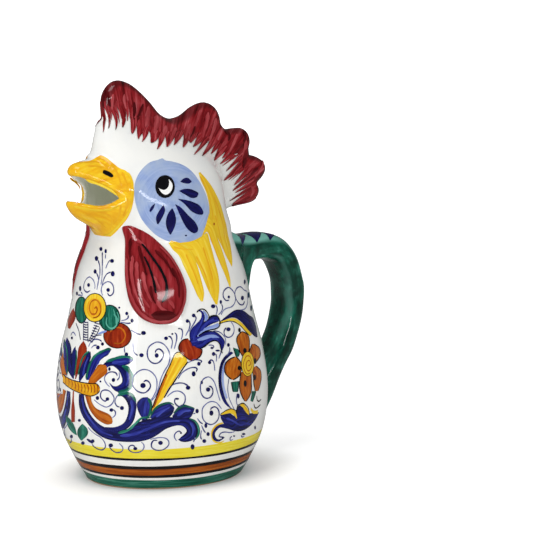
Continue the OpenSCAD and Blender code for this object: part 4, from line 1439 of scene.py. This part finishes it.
for k in range(11):
    x = 65 + 3.2 * k
    top = 374.5 + 9 * math.sin(min(1, k / 7) * math.pi / 2)
    jug.line("red_brown", [(x, top + 0.8), (x + 1.2, top + 5), (x + 0.6, top + 9.5)], 0.8, 0.6, 5, both=False)
for edge in (ROPE, ROPE_LOW):
    jug.line("outline", edge, 0.6, layer=6, both=False)

# The trumpet flower and the lily that grows from it
jug.leaf("flower_yellow", [150, 413, 153, 405, 159, 390, 163, 380, 167, 372, 170, 366, 172, 360, 174, 356,
    177, 352.5, 179.5, 352], [150.8, 414, 156, 407, 163, 399, 169.5, 388, 175, 379, 180, 371, 184, 366,
    187, 362, 186, 358, 180, 352.3], 1)
jug.line("feather_orange", [174, 360, 168, 372, 163, 384, 158, 396, 153, 408], 2.4, 2.0, 2)
jug.line("orange_brown", [167, 374, 162.5, 385, 158, 396, 152.8, 408], 1.3, 1.5, 3)
jug.line("feather_orange", [181, 357, 176, 366, 170, 377, 165, 386], 1.2, 0.6, 2)
jug.line("outline", [151, 411, 156, 398, 163, 380, 170, 365, 174, 355.5, 177, 352.5, 180, 352], 0.7, 0.7, 4)
jug.line("outline", [164, 398, 170, 388, 176, 379, 182, 370, 185.5, 365, 188, 361.5], 0.8, 0.8, 4)
jug.outlined("red_brown", [188, 338.5, 183, 340, 179.5, 344, 178.7, 349, 181, 353.5, 186, 357.5, 190, 360.5],
    [189, 340, 194, 345, 199, 348, 202, 350, 201, 355, 197, 359, 191, 361], 2)
jug.leaf("lily_blue", [192, 346, 189.6, 338, 189.5, 333, 192, 328, 197, 323, 200.5, 319, 201.5, 315,
    200.5, 312, 198, 311.5, 196.5, 312.5], [199, 346, 198, 338, 199, 330, 203, 324, 204.5, 319, 204, 314,
    202, 311, 199.5, 310, 197.5, 311, 196.5, 312.3], 4)
jug.leaf("pale_blue", [202.5, 311, 204.3, 314, 204.6, 318, 204.5, 321],
    [203.5, 310.5, 206, 313, 208, 317, 206.5, 321], 5)
jug.line("outline", [196.5, 312.5, 199, 310, 202, 309, 205.5, 310.5, 208, 314, 209.3, 318], 0.9, 0.6, 8)
jug.leaf("lily_blue", [197, 335, 200, 327, 204, 322, 208, 319, 211, 316.5, 215, 315.8, 218, 317, 219, 320],
    [198, 337, 202, 331, 206, 327.5, 210, 325, 213, 323.5, 216, 322.5, 218, 321.5, 219, 320.5], 5)
jug.leaf("pale_blue", [197, 336, 202, 330, 207, 327, 213, 325, 218, 323],
    [198, 337, 203, 332, 209, 329.5, 215, 328.5, 219, 326], 6)
jug.line("outline", [208, 318.5, 211, 316.3, 215, 315.8, 217.5, 316.5, 219.3, 320, 219.8, 324, 218.5, 327,
    215, 329, 210, 330, 204, 332, 198, 336], 1.1, 0.6, 8)
jug.leaf("lily_blue", [190, 340, 197, 335, 204, 332, 210, 331, 216, 332, 221, 336, 224.5, 341, 224, 346,
    222, 351], [193, 345, 197, 348, 201, 348.5, 205, 346, 208, 343.5, 212, 341, 216.5, 341, 220, 345,
    221, 351], 5)
jug.leaf("pale_blue", [197, 339.5, 203, 336.4, 209, 334.8, 215, 335, 219, 337.5],
    [198, 341, 204, 340, 209, 338.4, 214, 338, 219, 338], 6)
jug.line("outline", [201, 348.5, 205, 346, 208, 343.5, 212, 341, 216.5, 341, 219.5, 344, 220.8, 349,
    222.3, 353.5], 0.9, 0.8, 8)
jug.line("line_blue", [213, 331, 218, 331.5, 222.5, 334.5, 225.3, 339, 225.3, 345], 0.7, 0.5, 6)
for way in ([194, 341, 195, 333, 200, 325, 202.5, 317], [201, 331, 207, 323, 214, 319],
        [203, 344, 210, 339, 218, 340]):
    jug.line("mid_blue", way, 1.9, 0.9, 7)

# The arch leaf, the round flower, the long arc and the leaves below them
jug.leaf("navy", [219.5, 322, 224, 318, 229, 314, 234, 310.5, 239, 309.5, 244, 311, 249, 315, 253, 318,
    255.5, 325, 257, 333, 257.5, 337], [220, 322.6, 225, 320, 230, 318, 235, 318, 240, 321, 244, 325,
    248, 330, 250, 332, 252, 334, 254, 336, 256, 337.5], 1)
jug.leaf("flower_yellow", [219, 322.4, 225, 320, 230, 318.4, 235, 318.6, 240, 321.5, 244, 325.3, 248, 330,
    252, 334.4], [218.5, 323.8, 224, 322, 229, 321, 233, 321.3, 237, 323.2, 241, 326.3, 245, 330.8,
    250, 336], 2)
jug.line("outline", [218.5, 324, 224, 322.2, 229, 321.2, 233, 321.5, 237, 323.4, 241, 326.5, 245, 331,
    250, 336.2], 0.6, 0.6, 3)
jug.line("leaf_blue", [229, 316.5, 236, 312.5, 243, 315, 250, 322], 1.8, 0.8, 2)
PETALS = [
    [241.5, 331.5, 237.5, 336, 236.5, 341, 238, 346, 240, 352, 243, 357],
    [242, 331.5, 247, 334, 249, 338, 249.5, 344, 249, 350, 246, 357],
    [252, 344, 250, 349, 249, 354, 250, 360],
    [254, 344, 259.5, 348.5, 260.3, 355, 256, 362],
    [235, 356.8, 229, 359.5, 225.5, 363.5, 224.3, 368.5, 226, 374.5, 231.5, 379.5],
    [236, 356.8, 240, 361, 241.5, 366, 241, 371, 239, 376, 233, 380],
    [252, 368, 253, 376, 253.5, 383, 255, 391],
    [256, 366, 260.6, 371, 261, 380, 258, 391],
    [241, 372, 239.5, 383, 240, 391, 242.3, 397, 245, 401.5],
    [251, 372, 251.5, 383, 251.3, 391, 249, 397, 246, 401.5]]
for k in range(0, len(PETALS), 2):
    jug.outlined("orange_brown", PETALS[k], PETALS[k + 1], 1 + k // 2 % 2, wide=0.8)
jug.dot("outline", 247.5, 364, 13, 25, 4)
jug.dot("flower_yellow", 247.5, 364, 12, 24, 5)
jug.line("orange_brown", [248, 366, 250.3, 364, 249, 360.5, 246.6, 362, 246, 367, 248, 371, 251, 368,
    251.6, 362, 249.5, 356.5, 246, 356.5, 243.6, 362, 243.8, 369, 246.5, 374, 250, 373], 0.8, 0.6, 6)
for x, y, wide, tall in ((244.8, 350.5, 3.4, 5), (239.2, 368, 3.6, 4.6), (255, 361, 2.6, 6),
        (254.6, 377.5, 2.4, 6), (245, 383.5, 3, 6.5), (239.3, 330, 2.6, 4.4)):
    jug.dot("outline", x, y, wide, tall, 4)
for left, right in (([233, 347.5, 234.5, 352, 236, 357], [237.5, 349, 239.5, 353, 238, 357]),
        ([231, 382, 232, 387, 233, 392], [239, 381, 238.5, 386, 237.5, 392]),
        ([252, 391, 251.5, 396, 250.5, 401], [256, 391, 255, 395, 252.5, 402])):
    jug.outlined("leaf_green", left, right)
jug.leaf("leaf_blue", [231, 351.5, 226, 355, 222, 360, 219.5, 367, 218.3, 376, 218.6, 385, 220, 393, 223, 401,
    227, 406, 231, 408.5], [233.5, 353, 229, 356.6, 225, 361, 222.3, 368, 221.4, 376, 221.7, 384, 223.4, 392,
    226, 400, 229, 405, 231.5, 408.5], 1)
jug.leaf("pale_blue", [225, 361.5, 222.5, 368, 221.6, 376, 221.9, 384, 223.6, 392, 226, 399], [226.4, 362,
    224.6, 368, 223.8, 376, 224, 384, 225.6, 391, 227.6, 398], 1)
jug.line("line_blue", [229, 378, 228, 384, 227.7, 390, 229, 398, 232, 405, 234, 409], 0.6, 0.5)
jug.leaf("leaf_blue", [220, 414.5, 225, 413, 230, 413, 234, 415.5, 237, 407.5, 241, 405, 245.5, 408, 248, 413,
    253, 413, 257, 413, 258.5, 412], [221, 419, 224, 424, 227, 427.5, 231, 430, 236, 431.3, 241, 431,
    246, 429, 250, 426, 254, 421.5, 257, 416.5, 258.8, 412.6], 1)
jug.leaf("leaf_blue", [228, 424, 222, 424, 217, 426, 213, 430, 211.7, 435, 213, 439.5, 217, 441.5, 221, 440.5,
    224.5, 437.5], [230, 429.5, 221, 427.5, 217.5, 429.5, 215, 433, 215.3, 436.5, 217, 438.8, 219.5, 439.3,
    222, 438.3, 224.5, 437.2], 1)
jug.leaf("flower_yellow", [220.5, 414, 226, 410.6, 231, 409, 235, 411, 237, 418],
    [221.5, 414.8, 226, 413.8, 230, 413.2, 234, 415.5, 236.6, 419], 2)
jug.leaf("flower_yellow", [240, 404.6, 243, 403.6, 246.3, 407, 248.6, 411, 248.8, 414.5], [240.3, 405.6,
    242.6, 407.5, 244.6, 410.5, 246.5, 413, 248.6, 415], 2)
jug.leaf("flower_yellow", [251, 407.5, 254, 410.5, 258, 410], [250.6, 410.5, 253, 413.6, 257.6, 413.6], 2)
jug.leaf("flower_yellow", [223, 422.3, 217, 424, 212.3, 428.8, 210.8, 434, 212, 440, 216, 443, 221, 443.2,
    224, 441], [223, 423.4, 217.4, 425.6, 213.4, 430, 212, 435, 213.2, 439.5, 217, 441.8, 221, 441.6,
    223.8, 440.5], 2)
jug.line("outline", [220.5, 414, 226, 410.4, 231, 408.8, 235.5, 410.6, 237, 415], 0.6, 0.6, 4)
jug.line("outline", [236.6, 412, 237.5, 406, 241, 403.6, 244, 403.6, 248, 408, 249.4, 413.5], 0.8, 0.6, 4)
jug.line("mid_blue", [226, 418, 233, 421, 241, 425, 250, 421], 1.5, 0.8, 2)

# The sides of the head: the disc's petals and eye, and the yellow feathers below
PETAL_ROWS = [
    ([180.2, 181.6, 184, 178.3, 188, 178, 191.4, 181], [181, 182.3, 185, 183.4, 189, 183.6, 191.5, 182]),
    ([179.2, 190.8, 184, 189, 191, 189.2, 197.5, 192.3, 198.3, 193.6], [179.6, 191.4, 185, 194.6, 191.5, 198,
        196.5, 197.3, 198.3, 194.4]),
    ([177.9, 198.8, 186, 200, 193, 202, 199.5, 205.5, 203, 211, 203.2, 213.6], [178.4, 199.4, 184.5, 204,
        190.5, 210.5, 196, 213.8, 201, 214.8, 203, 214]),
    ([175.1, 204.2, 181, 207.5, 188, 215, 195, 222, 198, 228, 197.5, 231.5], [175.3, 204.8, 178.5, 212,
        183, 222, 188, 229.5, 193.5, 233.2, 197.2, 232]),
    ([171.9, 208.4, 167.8, 214, 165.8, 222, 167, 229, 170, 234.6],
        [172.4, 208.4, 175, 214, 176, 221, 174, 228.5, 170.8, 234.6]),
    ([163.3, 204.8, 159, 211, 156, 217.5, 157, 223.8], [163.8, 205, 165, 211, 161.5, 219, 158.2, 224.4]),
    ([154.6, 203.6, 151, 207, 149.4, 211], [155, 204, 153.6, 208.4, 150.5, 212.2])]
for left, right in PETAL_ROWS:
    jug.leaf("navy", left, right, 2)
jug.dot("navy", 185.9, 235.5, 2.2, 1.6, 2)
jug.dot("outline", 165, 186.6, 19.6, 23, 2)
jug.leaf("eye_white", [169, 179.3, 172.2, 184, 172.2, 188.3, 170, 192.5, 165.8, 194.8, 161.5, 192.6,
    158.8, 188.3], [168.8, 179.6, 169.2, 183, 168.4, 186.4, 166.4, 189, 163.8, 190, 161.2, 189.4,
    158.9, 188.2], 3)
FEATHERS = [
    ([198.5, 173, 201, 181, 206, 192, 209, 205, 210, 218, 215, 231, 221, 245, 227, 258, 231.5, 266.5],
        [200, 172, 208, 181, 216, 194, 222, 209, 226.5, 226, 229.5, 241, 231.7, 254, 232.3, 262, 232, 266.5]),
    ([201, 238, 207, 232, 211, 241, 216, 254, 221, 266, 226, 278, 229.5, 287], [209, 213, 214, 227, 219, 242,
        224, 256, 227.5, 268, 230.3, 280, 230.6, 287]),
    ([178, 243, 187, 250, 196, 262, 203, 278, 209, 292, 215.5, 304.5], [199, 240.5, 207, 233, 211, 246,
        216, 265, 219.4, 285, 217.5, 304.5]),
    ([168.5, 243, 173, 250, 179, 256, 184.5, 268, 192, 284, 197.5, 296, 201, 301.5], [171, 240.4, 181, 243.4,
        190, 251, 196, 262, 200.5, 277, 204, 292, 203, 301.5])]
for left, right in FEATHERS:
    jug.leaf("flower_yellow", left, right)
for way in ([200, 176, 207, 190, 211, 205, 213, 220], [214, 197, 220, 214, 224, 232, 228, 250],
        [215, 215, 220, 236, 226, 256], [210, 236, 216, 252, 222, 268], [203, 247, 208, 262, 213, 280],
        [173, 247, 183, 249, 193, 249.5], [186, 254, 192, 268, 198, 284], [196, 256, 204, 272, 210, 290]):
    jug.line("feather_orange", way, 1.2, 0.6, 1)
jug.dot("orange_brown", 214, 224, 1.6, 3, 2)

# The comb's ragged lower edge: the gap before each tooth (x, y), its tip (x, y) and its bend
FRINGE = [(100.5, 106, 103.2, 132.5, 1.5), (104.5, 107, 108.4, 128.6, 2), (108.6, 110, 111.6, 120.3, 0.5),
    (110.8, 111.5, 115.4, 130, 2), (115.2, 112, 118.6, 126.8, 1.5), (116, 105.5, 122.3, 127.6, 2),
    (124.5, 108, 127, 121.5, 1), (128, 105.5, 131.4, 133.6, 0.8), (137, 121, 137.8, 139, -0.5),
    (142, 133.5, 142, 142.2, 1), (149, 130.5, 150.8, 143, 1), (158.3, 137.5, 157, 149.6, 0.8),
    (165, 136.5, 166.8, 147.2, 0.5), (174.3, 137, 174, 145.5, 0.5), (183.2, 134, 182.5, 147.6, 0.5),
    (188.3, 140.3, 190.8, 143, 0), (196.6, 136.6, 192.8, 147.2, 0.5), (202, 141, 193.8, 155, 0.5),
    (209.6, 139.6, 201.8, 156.2, 0.5), (214.6, 144.2, 210.7, 154.2, 0), (218, 147.8, 214, 160.6, 0),
    (225.5, 151, 221.8, 158.5, 0), (226.5, 156, 219.8, 164.2, 0), (231, 158, 222, 166.2, 0),
    (238.8, 154.8, 225.7, 171.2, 0), (239, 160.8, 223.5, 180.4, 0.5), (237.5, 171, 228, 180.2, 0),
    (240, 172, 230.8, 180.6, 0), (244.5, 169.5, 233.8, 185.2, 0), (250, 172.5, 232.5, 190.5, 0),
    (250.5, 180, 235, 192.5, 0), (247, 187.5, 229, 201.2, 0), (248.3, 191, 231.5, 205.4, -0.5)]
FRINGE_END = (252, 201.5)
crest = Paint(head_outside, lambda p: settle(head_outside, p, 4), onto(comb), 0.4)
for k, (x0, y0, x1, y1, bend) in enumerate(FRINGE):
    after = FRINGE[k + 1][:2] if k + 1 < len(FRINGE) else FRINGE_END
    crest.tooth("crimson_tooth", (x0, y0), after, (x1, y1), bend)
for way, wide in (([113, 94, 112, 102, 112, 110], 2.4), ([124, 94, 124, 101, 126, 109], 2.6),
        ([148, 106, 147, 116, 145, 127], 4.6), ([157, 115, 156, 124, 154, 134], 4.8),
        ([166, 126, 164, 133, 161, 141], 3.6), ([176, 128, 173, 134, 170, 141], 2.6),
        ([190, 124, 187, 131, 185, 139], 2.6), ([208, 112, 206, 124, 202, 138], 3.6),
        ([216, 118, 213, 130, 209, 142], 3.8), ([200, 110, 196, 122, 193, 134], 2.2),
        ([226, 140, 222, 146, 218, 152], 2.6), ([237, 134, 233, 144, 229, 152], 3.0),
        ([246, 140, 244, 149, 242, 157], 2.4), ([256, 163, 250, 168, 246, 174], 2.6),
        ([262, 160, 261, 168, 257, 174], 2.0), ([251, 186, 253, 191, 250, 197], 3.0)):
    crest.line("crimson_light", way, wide, 0.45 * wide, 2)
for way, wide in (([105, 90, 103, 98, 104, 108], 4.0), ([134, 102, 134, 112, 134, 120], 3.6),
        ([143, 104, 140, 112, 138, 120], 2.6), ([225, 131, 229, 135, 228, 141], 3.4),
        ([243, 131, 245, 137, 243, 142], 2.6), ([246, 158, 244, 163, 243, 168], 3.6),
        ([258, 168, 252, 173, 248, 178], 2.4), ([195, 126, 193, 132, 190, 138], 1.8)):
    crest.line("crimson_dark", way, wide, 0.4 * wide, 3)

# The nostril and the darker brushwork on the beak
bill = Paint(head_outside, lambda p: settle(head_outside, p, 3), onto(upper_beak), 0.06)
bill.leaf("outline", [102.6, 172, 104, 170, 108, 171.2, 112, 173.6, 113.4, 175.6], [103, 173.4, 105, 174.6,
    107.6, 175.8, 110.8, 177.4, 113.2, 176.8], 3)
for way in ([84, 162.5, 93, 161.5, 102, 163, 110, 168], [96, 158, 103, 159, 112, 165],
        [122, 172, 126, 182, 127.5, 193], [114, 168, 119, 177, 122, 188], [88, 166, 97, 166, 105, 168]):
    bill.line("feather_orange", way, 1.6, 0.7, 1)
for way in ([126, 172, 130.5, 177, 132.4, 185, 132.6, 194, 131.6, 203],
        [86, 179.6, 91, 181.6, 101, 185.2, 111, 190.6, 117, 195.4]):
    bill.line("flower_yellow", way, 1.8, 1.4, 2)
low_bill = Paint(head_outside, lambda p: settle(head_outside, p, 3), onto(lower_beak), 0.06)
for way in ([127.5, 198, 127, 206, 123, 216], [72, 214, 82, 219, 93, 225, 101, 231],
        [86, 214, 97, 220, 106, 228], [106, 214, 112, 220, 110, 230], [121, 205, 119, 215, 113, 225]):
    low_bill.line("feather_orange", way, 1.6, 0.7, 1)
for way in ([131.4, 204, 128.6, 212.5, 124, 219.5, 117, 227, 110, 233.5, 104, 235.6],
        [74, 206, 86, 209, 98, 210.5, 110, 209.5, 118, 205.5]):
    low_bill.line("flower_yellow", way, 1.8, 1.4, 2)

# The lines on the wattles, with painted highlights in paler crimson and darker crimson strokes
WATTLE_LOOP = through(WATTLE, WATTLE_AROUND, closed=True) - WATTLE_MID
# How far out of the neck a line of sight meets a wattle, and how high strokes lie on the far one
WATTLE_OUT, FAR_LIFTS, FAR_LIFT = 3.5, {"outline": 0.5, "crimson_dark": 0.42}, 0.35


def wattle_rise(p):
    """How far the wattle stands out of the neck under a place."""
    across, h = to_axis(p)
    share = np.stack([np.degrees(np.arctan2(-p[:, 1], -across)) / 90, h / BODY_H], 1) - WATTLE_MID
    way = np.arctan2(WATTLE_LOOP[:, 1], WATTLE_LOOP[:, 0])
    order = np.argsort(way)
    far = np.interp(np.arctan2(share[:, 1], share[:, 0]), way[order],
                    np.linalg.norm(WATTLE_LOOP, axis=1)[order], period=2 * math.pi)
    return cushion(np.clip(np.linalg.norm(share, axis=1) / far, 0, 0.995))


def wattle_place(p):
    """Places on a wattle over places of the neck, and their normals."""
    q, n = settle(tube_field, p, 3)
    first = unit(np.cross(n, [0.0, 0, 1]))
    tilt = n.copy()
    for way in (first, np.cross(n, first)):
        tilt -= way * (wattle_rise(q + 0.5 * way) - wattle_rise(q - 0.5 * way))[:, None]
    return q + n * wattle_rise(q)[:, None], unit(tilt)


def on_wattles(q, m, t, glaze_name, brush, edge, flip):
    """Gives a stroke to the near wattle, or to the far one, turned back to where that one is."""
    if flip < 0:
        rise = wattle_rise(q * [1, -1, 1]) + FAR_LIFTS.get(glaze_name, FAR_LIFT)
        q, m = settle(tube_field, turned(q, -WATTLE_SKEW), 4)
        q += m * rise[:, None]
    (left_wattle if flip > 0 else right_wattle).add(q, m, t, glaze_name, brush, edge)


lobes = Paint(lambda p: tube_field(p) - WATTLE_OUT, wattle_place, on_wattles, 0.06)
lobes.line("outline", [141.8, 243.9, 147, 250, 152.9, 258.6, 160.7, 270, 165.7, 281.4, 166.6, 290,
    165.7, 296.4, 161.8, 302.9], 1.3, 1.9, 3)
lobes.line("outline", [144.3, 256.8, 148, 264, 151.4, 272.9, 154, 282, 156, 293.5], 1.1, 1.8, 3)
# Painted highlights: paler crimson along the wattle's rim and in streaks
lobes.line("crimson_light", [126.5, 258, 126.8, 270, 128, 284, 132, 298, 139, 311, 149, 319, 160, 322,
    172, 320.5, 180, 314, 184.5, 303, 185.5, 292, 183, 280, 178, 268, 170, 256, 160, 246], 2.2, 1.4, 1)
for way in ([133, 256, 132, 272, 135, 290, 142, 306], [137, 262, 138, 280, 142, 296, 150, 308],
        [143, 272, 146, 288, 152, 302], [153, 276, 157, 284, 160, 290], [157, 300, 161, 308, 168, 312],
        [168, 300, 172, 304, 174, 309], [132, 236, 140, 242, 146, 247]):
    lobes.line("crimson_light", way, 2.8, 1.2, 1)
lobes.leaf("crimson_dark", [151, 315, 156, 311.5, 164, 310.5, 172, 312, 176, 315],
    [152, 316, 156, 319.3, 163, 320.5, 171, 319.3, 176, 315.6], 2)
for way in ([131, 238, 130, 250, 131, 262], [139, 246, 143, 262, 147, 276], [155, 250, 166, 262, 174, 277],
        [172, 268, 178, 282, 179, 298], [151, 286, 152, 296, 156, 304]):
    lobes.line("crimson_dark", way, 2.4, 0.9, 2)

# Two thin curls below the round flower
for way in ([256.7, 395.5, 257.1, 400, 258.9, 401.3, 261.2, 399.1],
        [253.8, 403.6, 254.9, 407.6, 257.1, 407.6, 260.3, 404.5]):
    jug.line("outline", way, 0.8, 0.9, 3)

for paint in (jug, crest, bill, low_bill, lobes):
    paint.lay()

for piece in ALL:
    piece.make()


# Floor, light and camera
FLOOR_HALF = 60.0
# The floor's glow for the camera, by metres: held low close round the foot, where it paints a darker shadow,
# and rising from near to far off
SHADE_ROUND_FOOT = dict(From_Min=0.045, From_Max=0.105, To_Min=0.05, To_Max=1.0)
GLOW_FAR = dict(From_Min=0.35, From_Max=2.4, To_Min=0.44, To_Max=1.0)
# Brightness of floor and world by their own light, and in reflections
FLOOR_SHADE, WORLD_LIGHT = dict(To_Min=0.93, To_Max=0.35), dict(To_Min=0.55, To_Max=0.12)
# Height that the lamps aim at, in metres, and the width of the camera's sensor in millimetres
LAMP_AIM_Z, SENSOR_W = 0.13, 36


def make_floor():
    """The white floor, with a painted shadow close round the foot."""
    mesh = bpy.data.meshes.new("floor")
    corners = [(x * FLOOR_HALF, y * FLOOR_HALF, 0) for x, y in ((-1, -1), (1, -1), (1, 1), (-1, 1))]
    mesh.from_pydata(corners, [], [(0, 1, 2, 3)])
    floor = bpy.data.objects.new("floor", mesh)
    bpy.context.scene.collection.objects.link(floor)
    m = bpy.data.materials.new("floor_white")
    m.use_nodes = True
    t = m.node_tree
    bsdf = t.nodes["Principled BSDF"].inputs
    for key, value in (("Roughness", 0.9), ("Specular IOR Level", 0.1), ("Emission Color", WHITE)):
        bsdf[key].default_value = value
    ray = node(t, "LightPath")
    place = node(t, "TexCoord").outputs["Object"]
    away = node(t, "VectorMath", place, operation="LENGTH").outputs["Value"]
    # near keeps the glow low round the foot, a painted shadow there
    near, far = (node(t, "MapRange", Value=away, **span).outputs[0] for span in (SHADE_ROUND_FOOT, GLOW_FAR))
    glow = node(t, "Math", near, far, operation="MULTIPLY").outputs[0]
    seen = node(t, "Math", ray.outputs["Is Camera Ray"], glow, operation="MULTIPLY").outputs[0]
    shade = node(t, "MapRange", Value=ray.outputs["Is Glossy Ray"], **FLOOR_SHADE)
    feed(t, bsdf["Base Color"], shade.outputs[0])
    feed(t, bsdf["Emission Strength"], seen)
    mesh.materials.append(m)


def make_world():
    """White light from all sides."""
    world = bpy.data.worlds.new("studio")
    bpy.context.scene.world = world
    world.use_nodes = True
    t = world.node_tree
    back = t.nodes["Background"].inputs
    back["Color"].default_value = WHITE
    ray = node(t, "LightPath")
    level = node(t, "MapRange", Value=ray.outputs["Is Glossy Ray"], **WORLD_LIGHT)
    seen = node(t, "MapRange", Value=ray.outputs["Is Camera Ray"], To_Min=level.outputs[0], To_Max=1.0)
    feed(t, back["Strength"], seen.outputs[0])


def softbox(name, az, el, away, size, power):
    """A lamp that faces the pitcher from az and el in degrees, away metres off."""
    lamp = bpy.data.lights.new(name, "AREA")
    lamp.shape = "RECTANGLE"
    lamp.size, lamp.size_y = size
    lamp.energy = power
    a, e = math.radians(az), math.radians(el)
    way = Vector((math.cos(e) * math.cos(a), math.cos(e) * math.sin(a), math.sin(e)))
    obj = bpy.data.objects.new(name, lamp)
    obj.location = way * away + Vector((0, 0, LAMP_AIM_Z))
    obj.rotation_euler = way.to_track_quat("Z", "Y").to_euler()
    bpy.context.scene.collection.objects.link(obj)


def make_camera():
    """A camera like the photograph's."""
    camera = bpy.data.cameras.new("camera")
    camera.sensor_width = SENSOR_W
    camera.lens = FOCAL_PX / FRAME_PX * SENSOR_W
    obj = bpy.data.objects.new("camera", camera)
    turn = Matrix((RIGHT, UP, -LOOK)).transposed().to_4x4()
    obj.matrix_world = Matrix.Translation(CAMERA_AT * MM) @ turn
    bpy.context.scene.collection.objects.link(obj)
    bpy.context.scene.camera = obj


make_floor()
make_world()
softbox("key", -155, 65, 2.3, (1.1, 1.1), 16)
softbox("left_strip", -158, 10, 2.0, (0.22, 0.9), 9)
softbox("front_patch", -115, 16, 2.0, (0.95, 0.11), 4.6)
make_camera()
bpy.context.scene.view_settings.view_transform = "Standard"
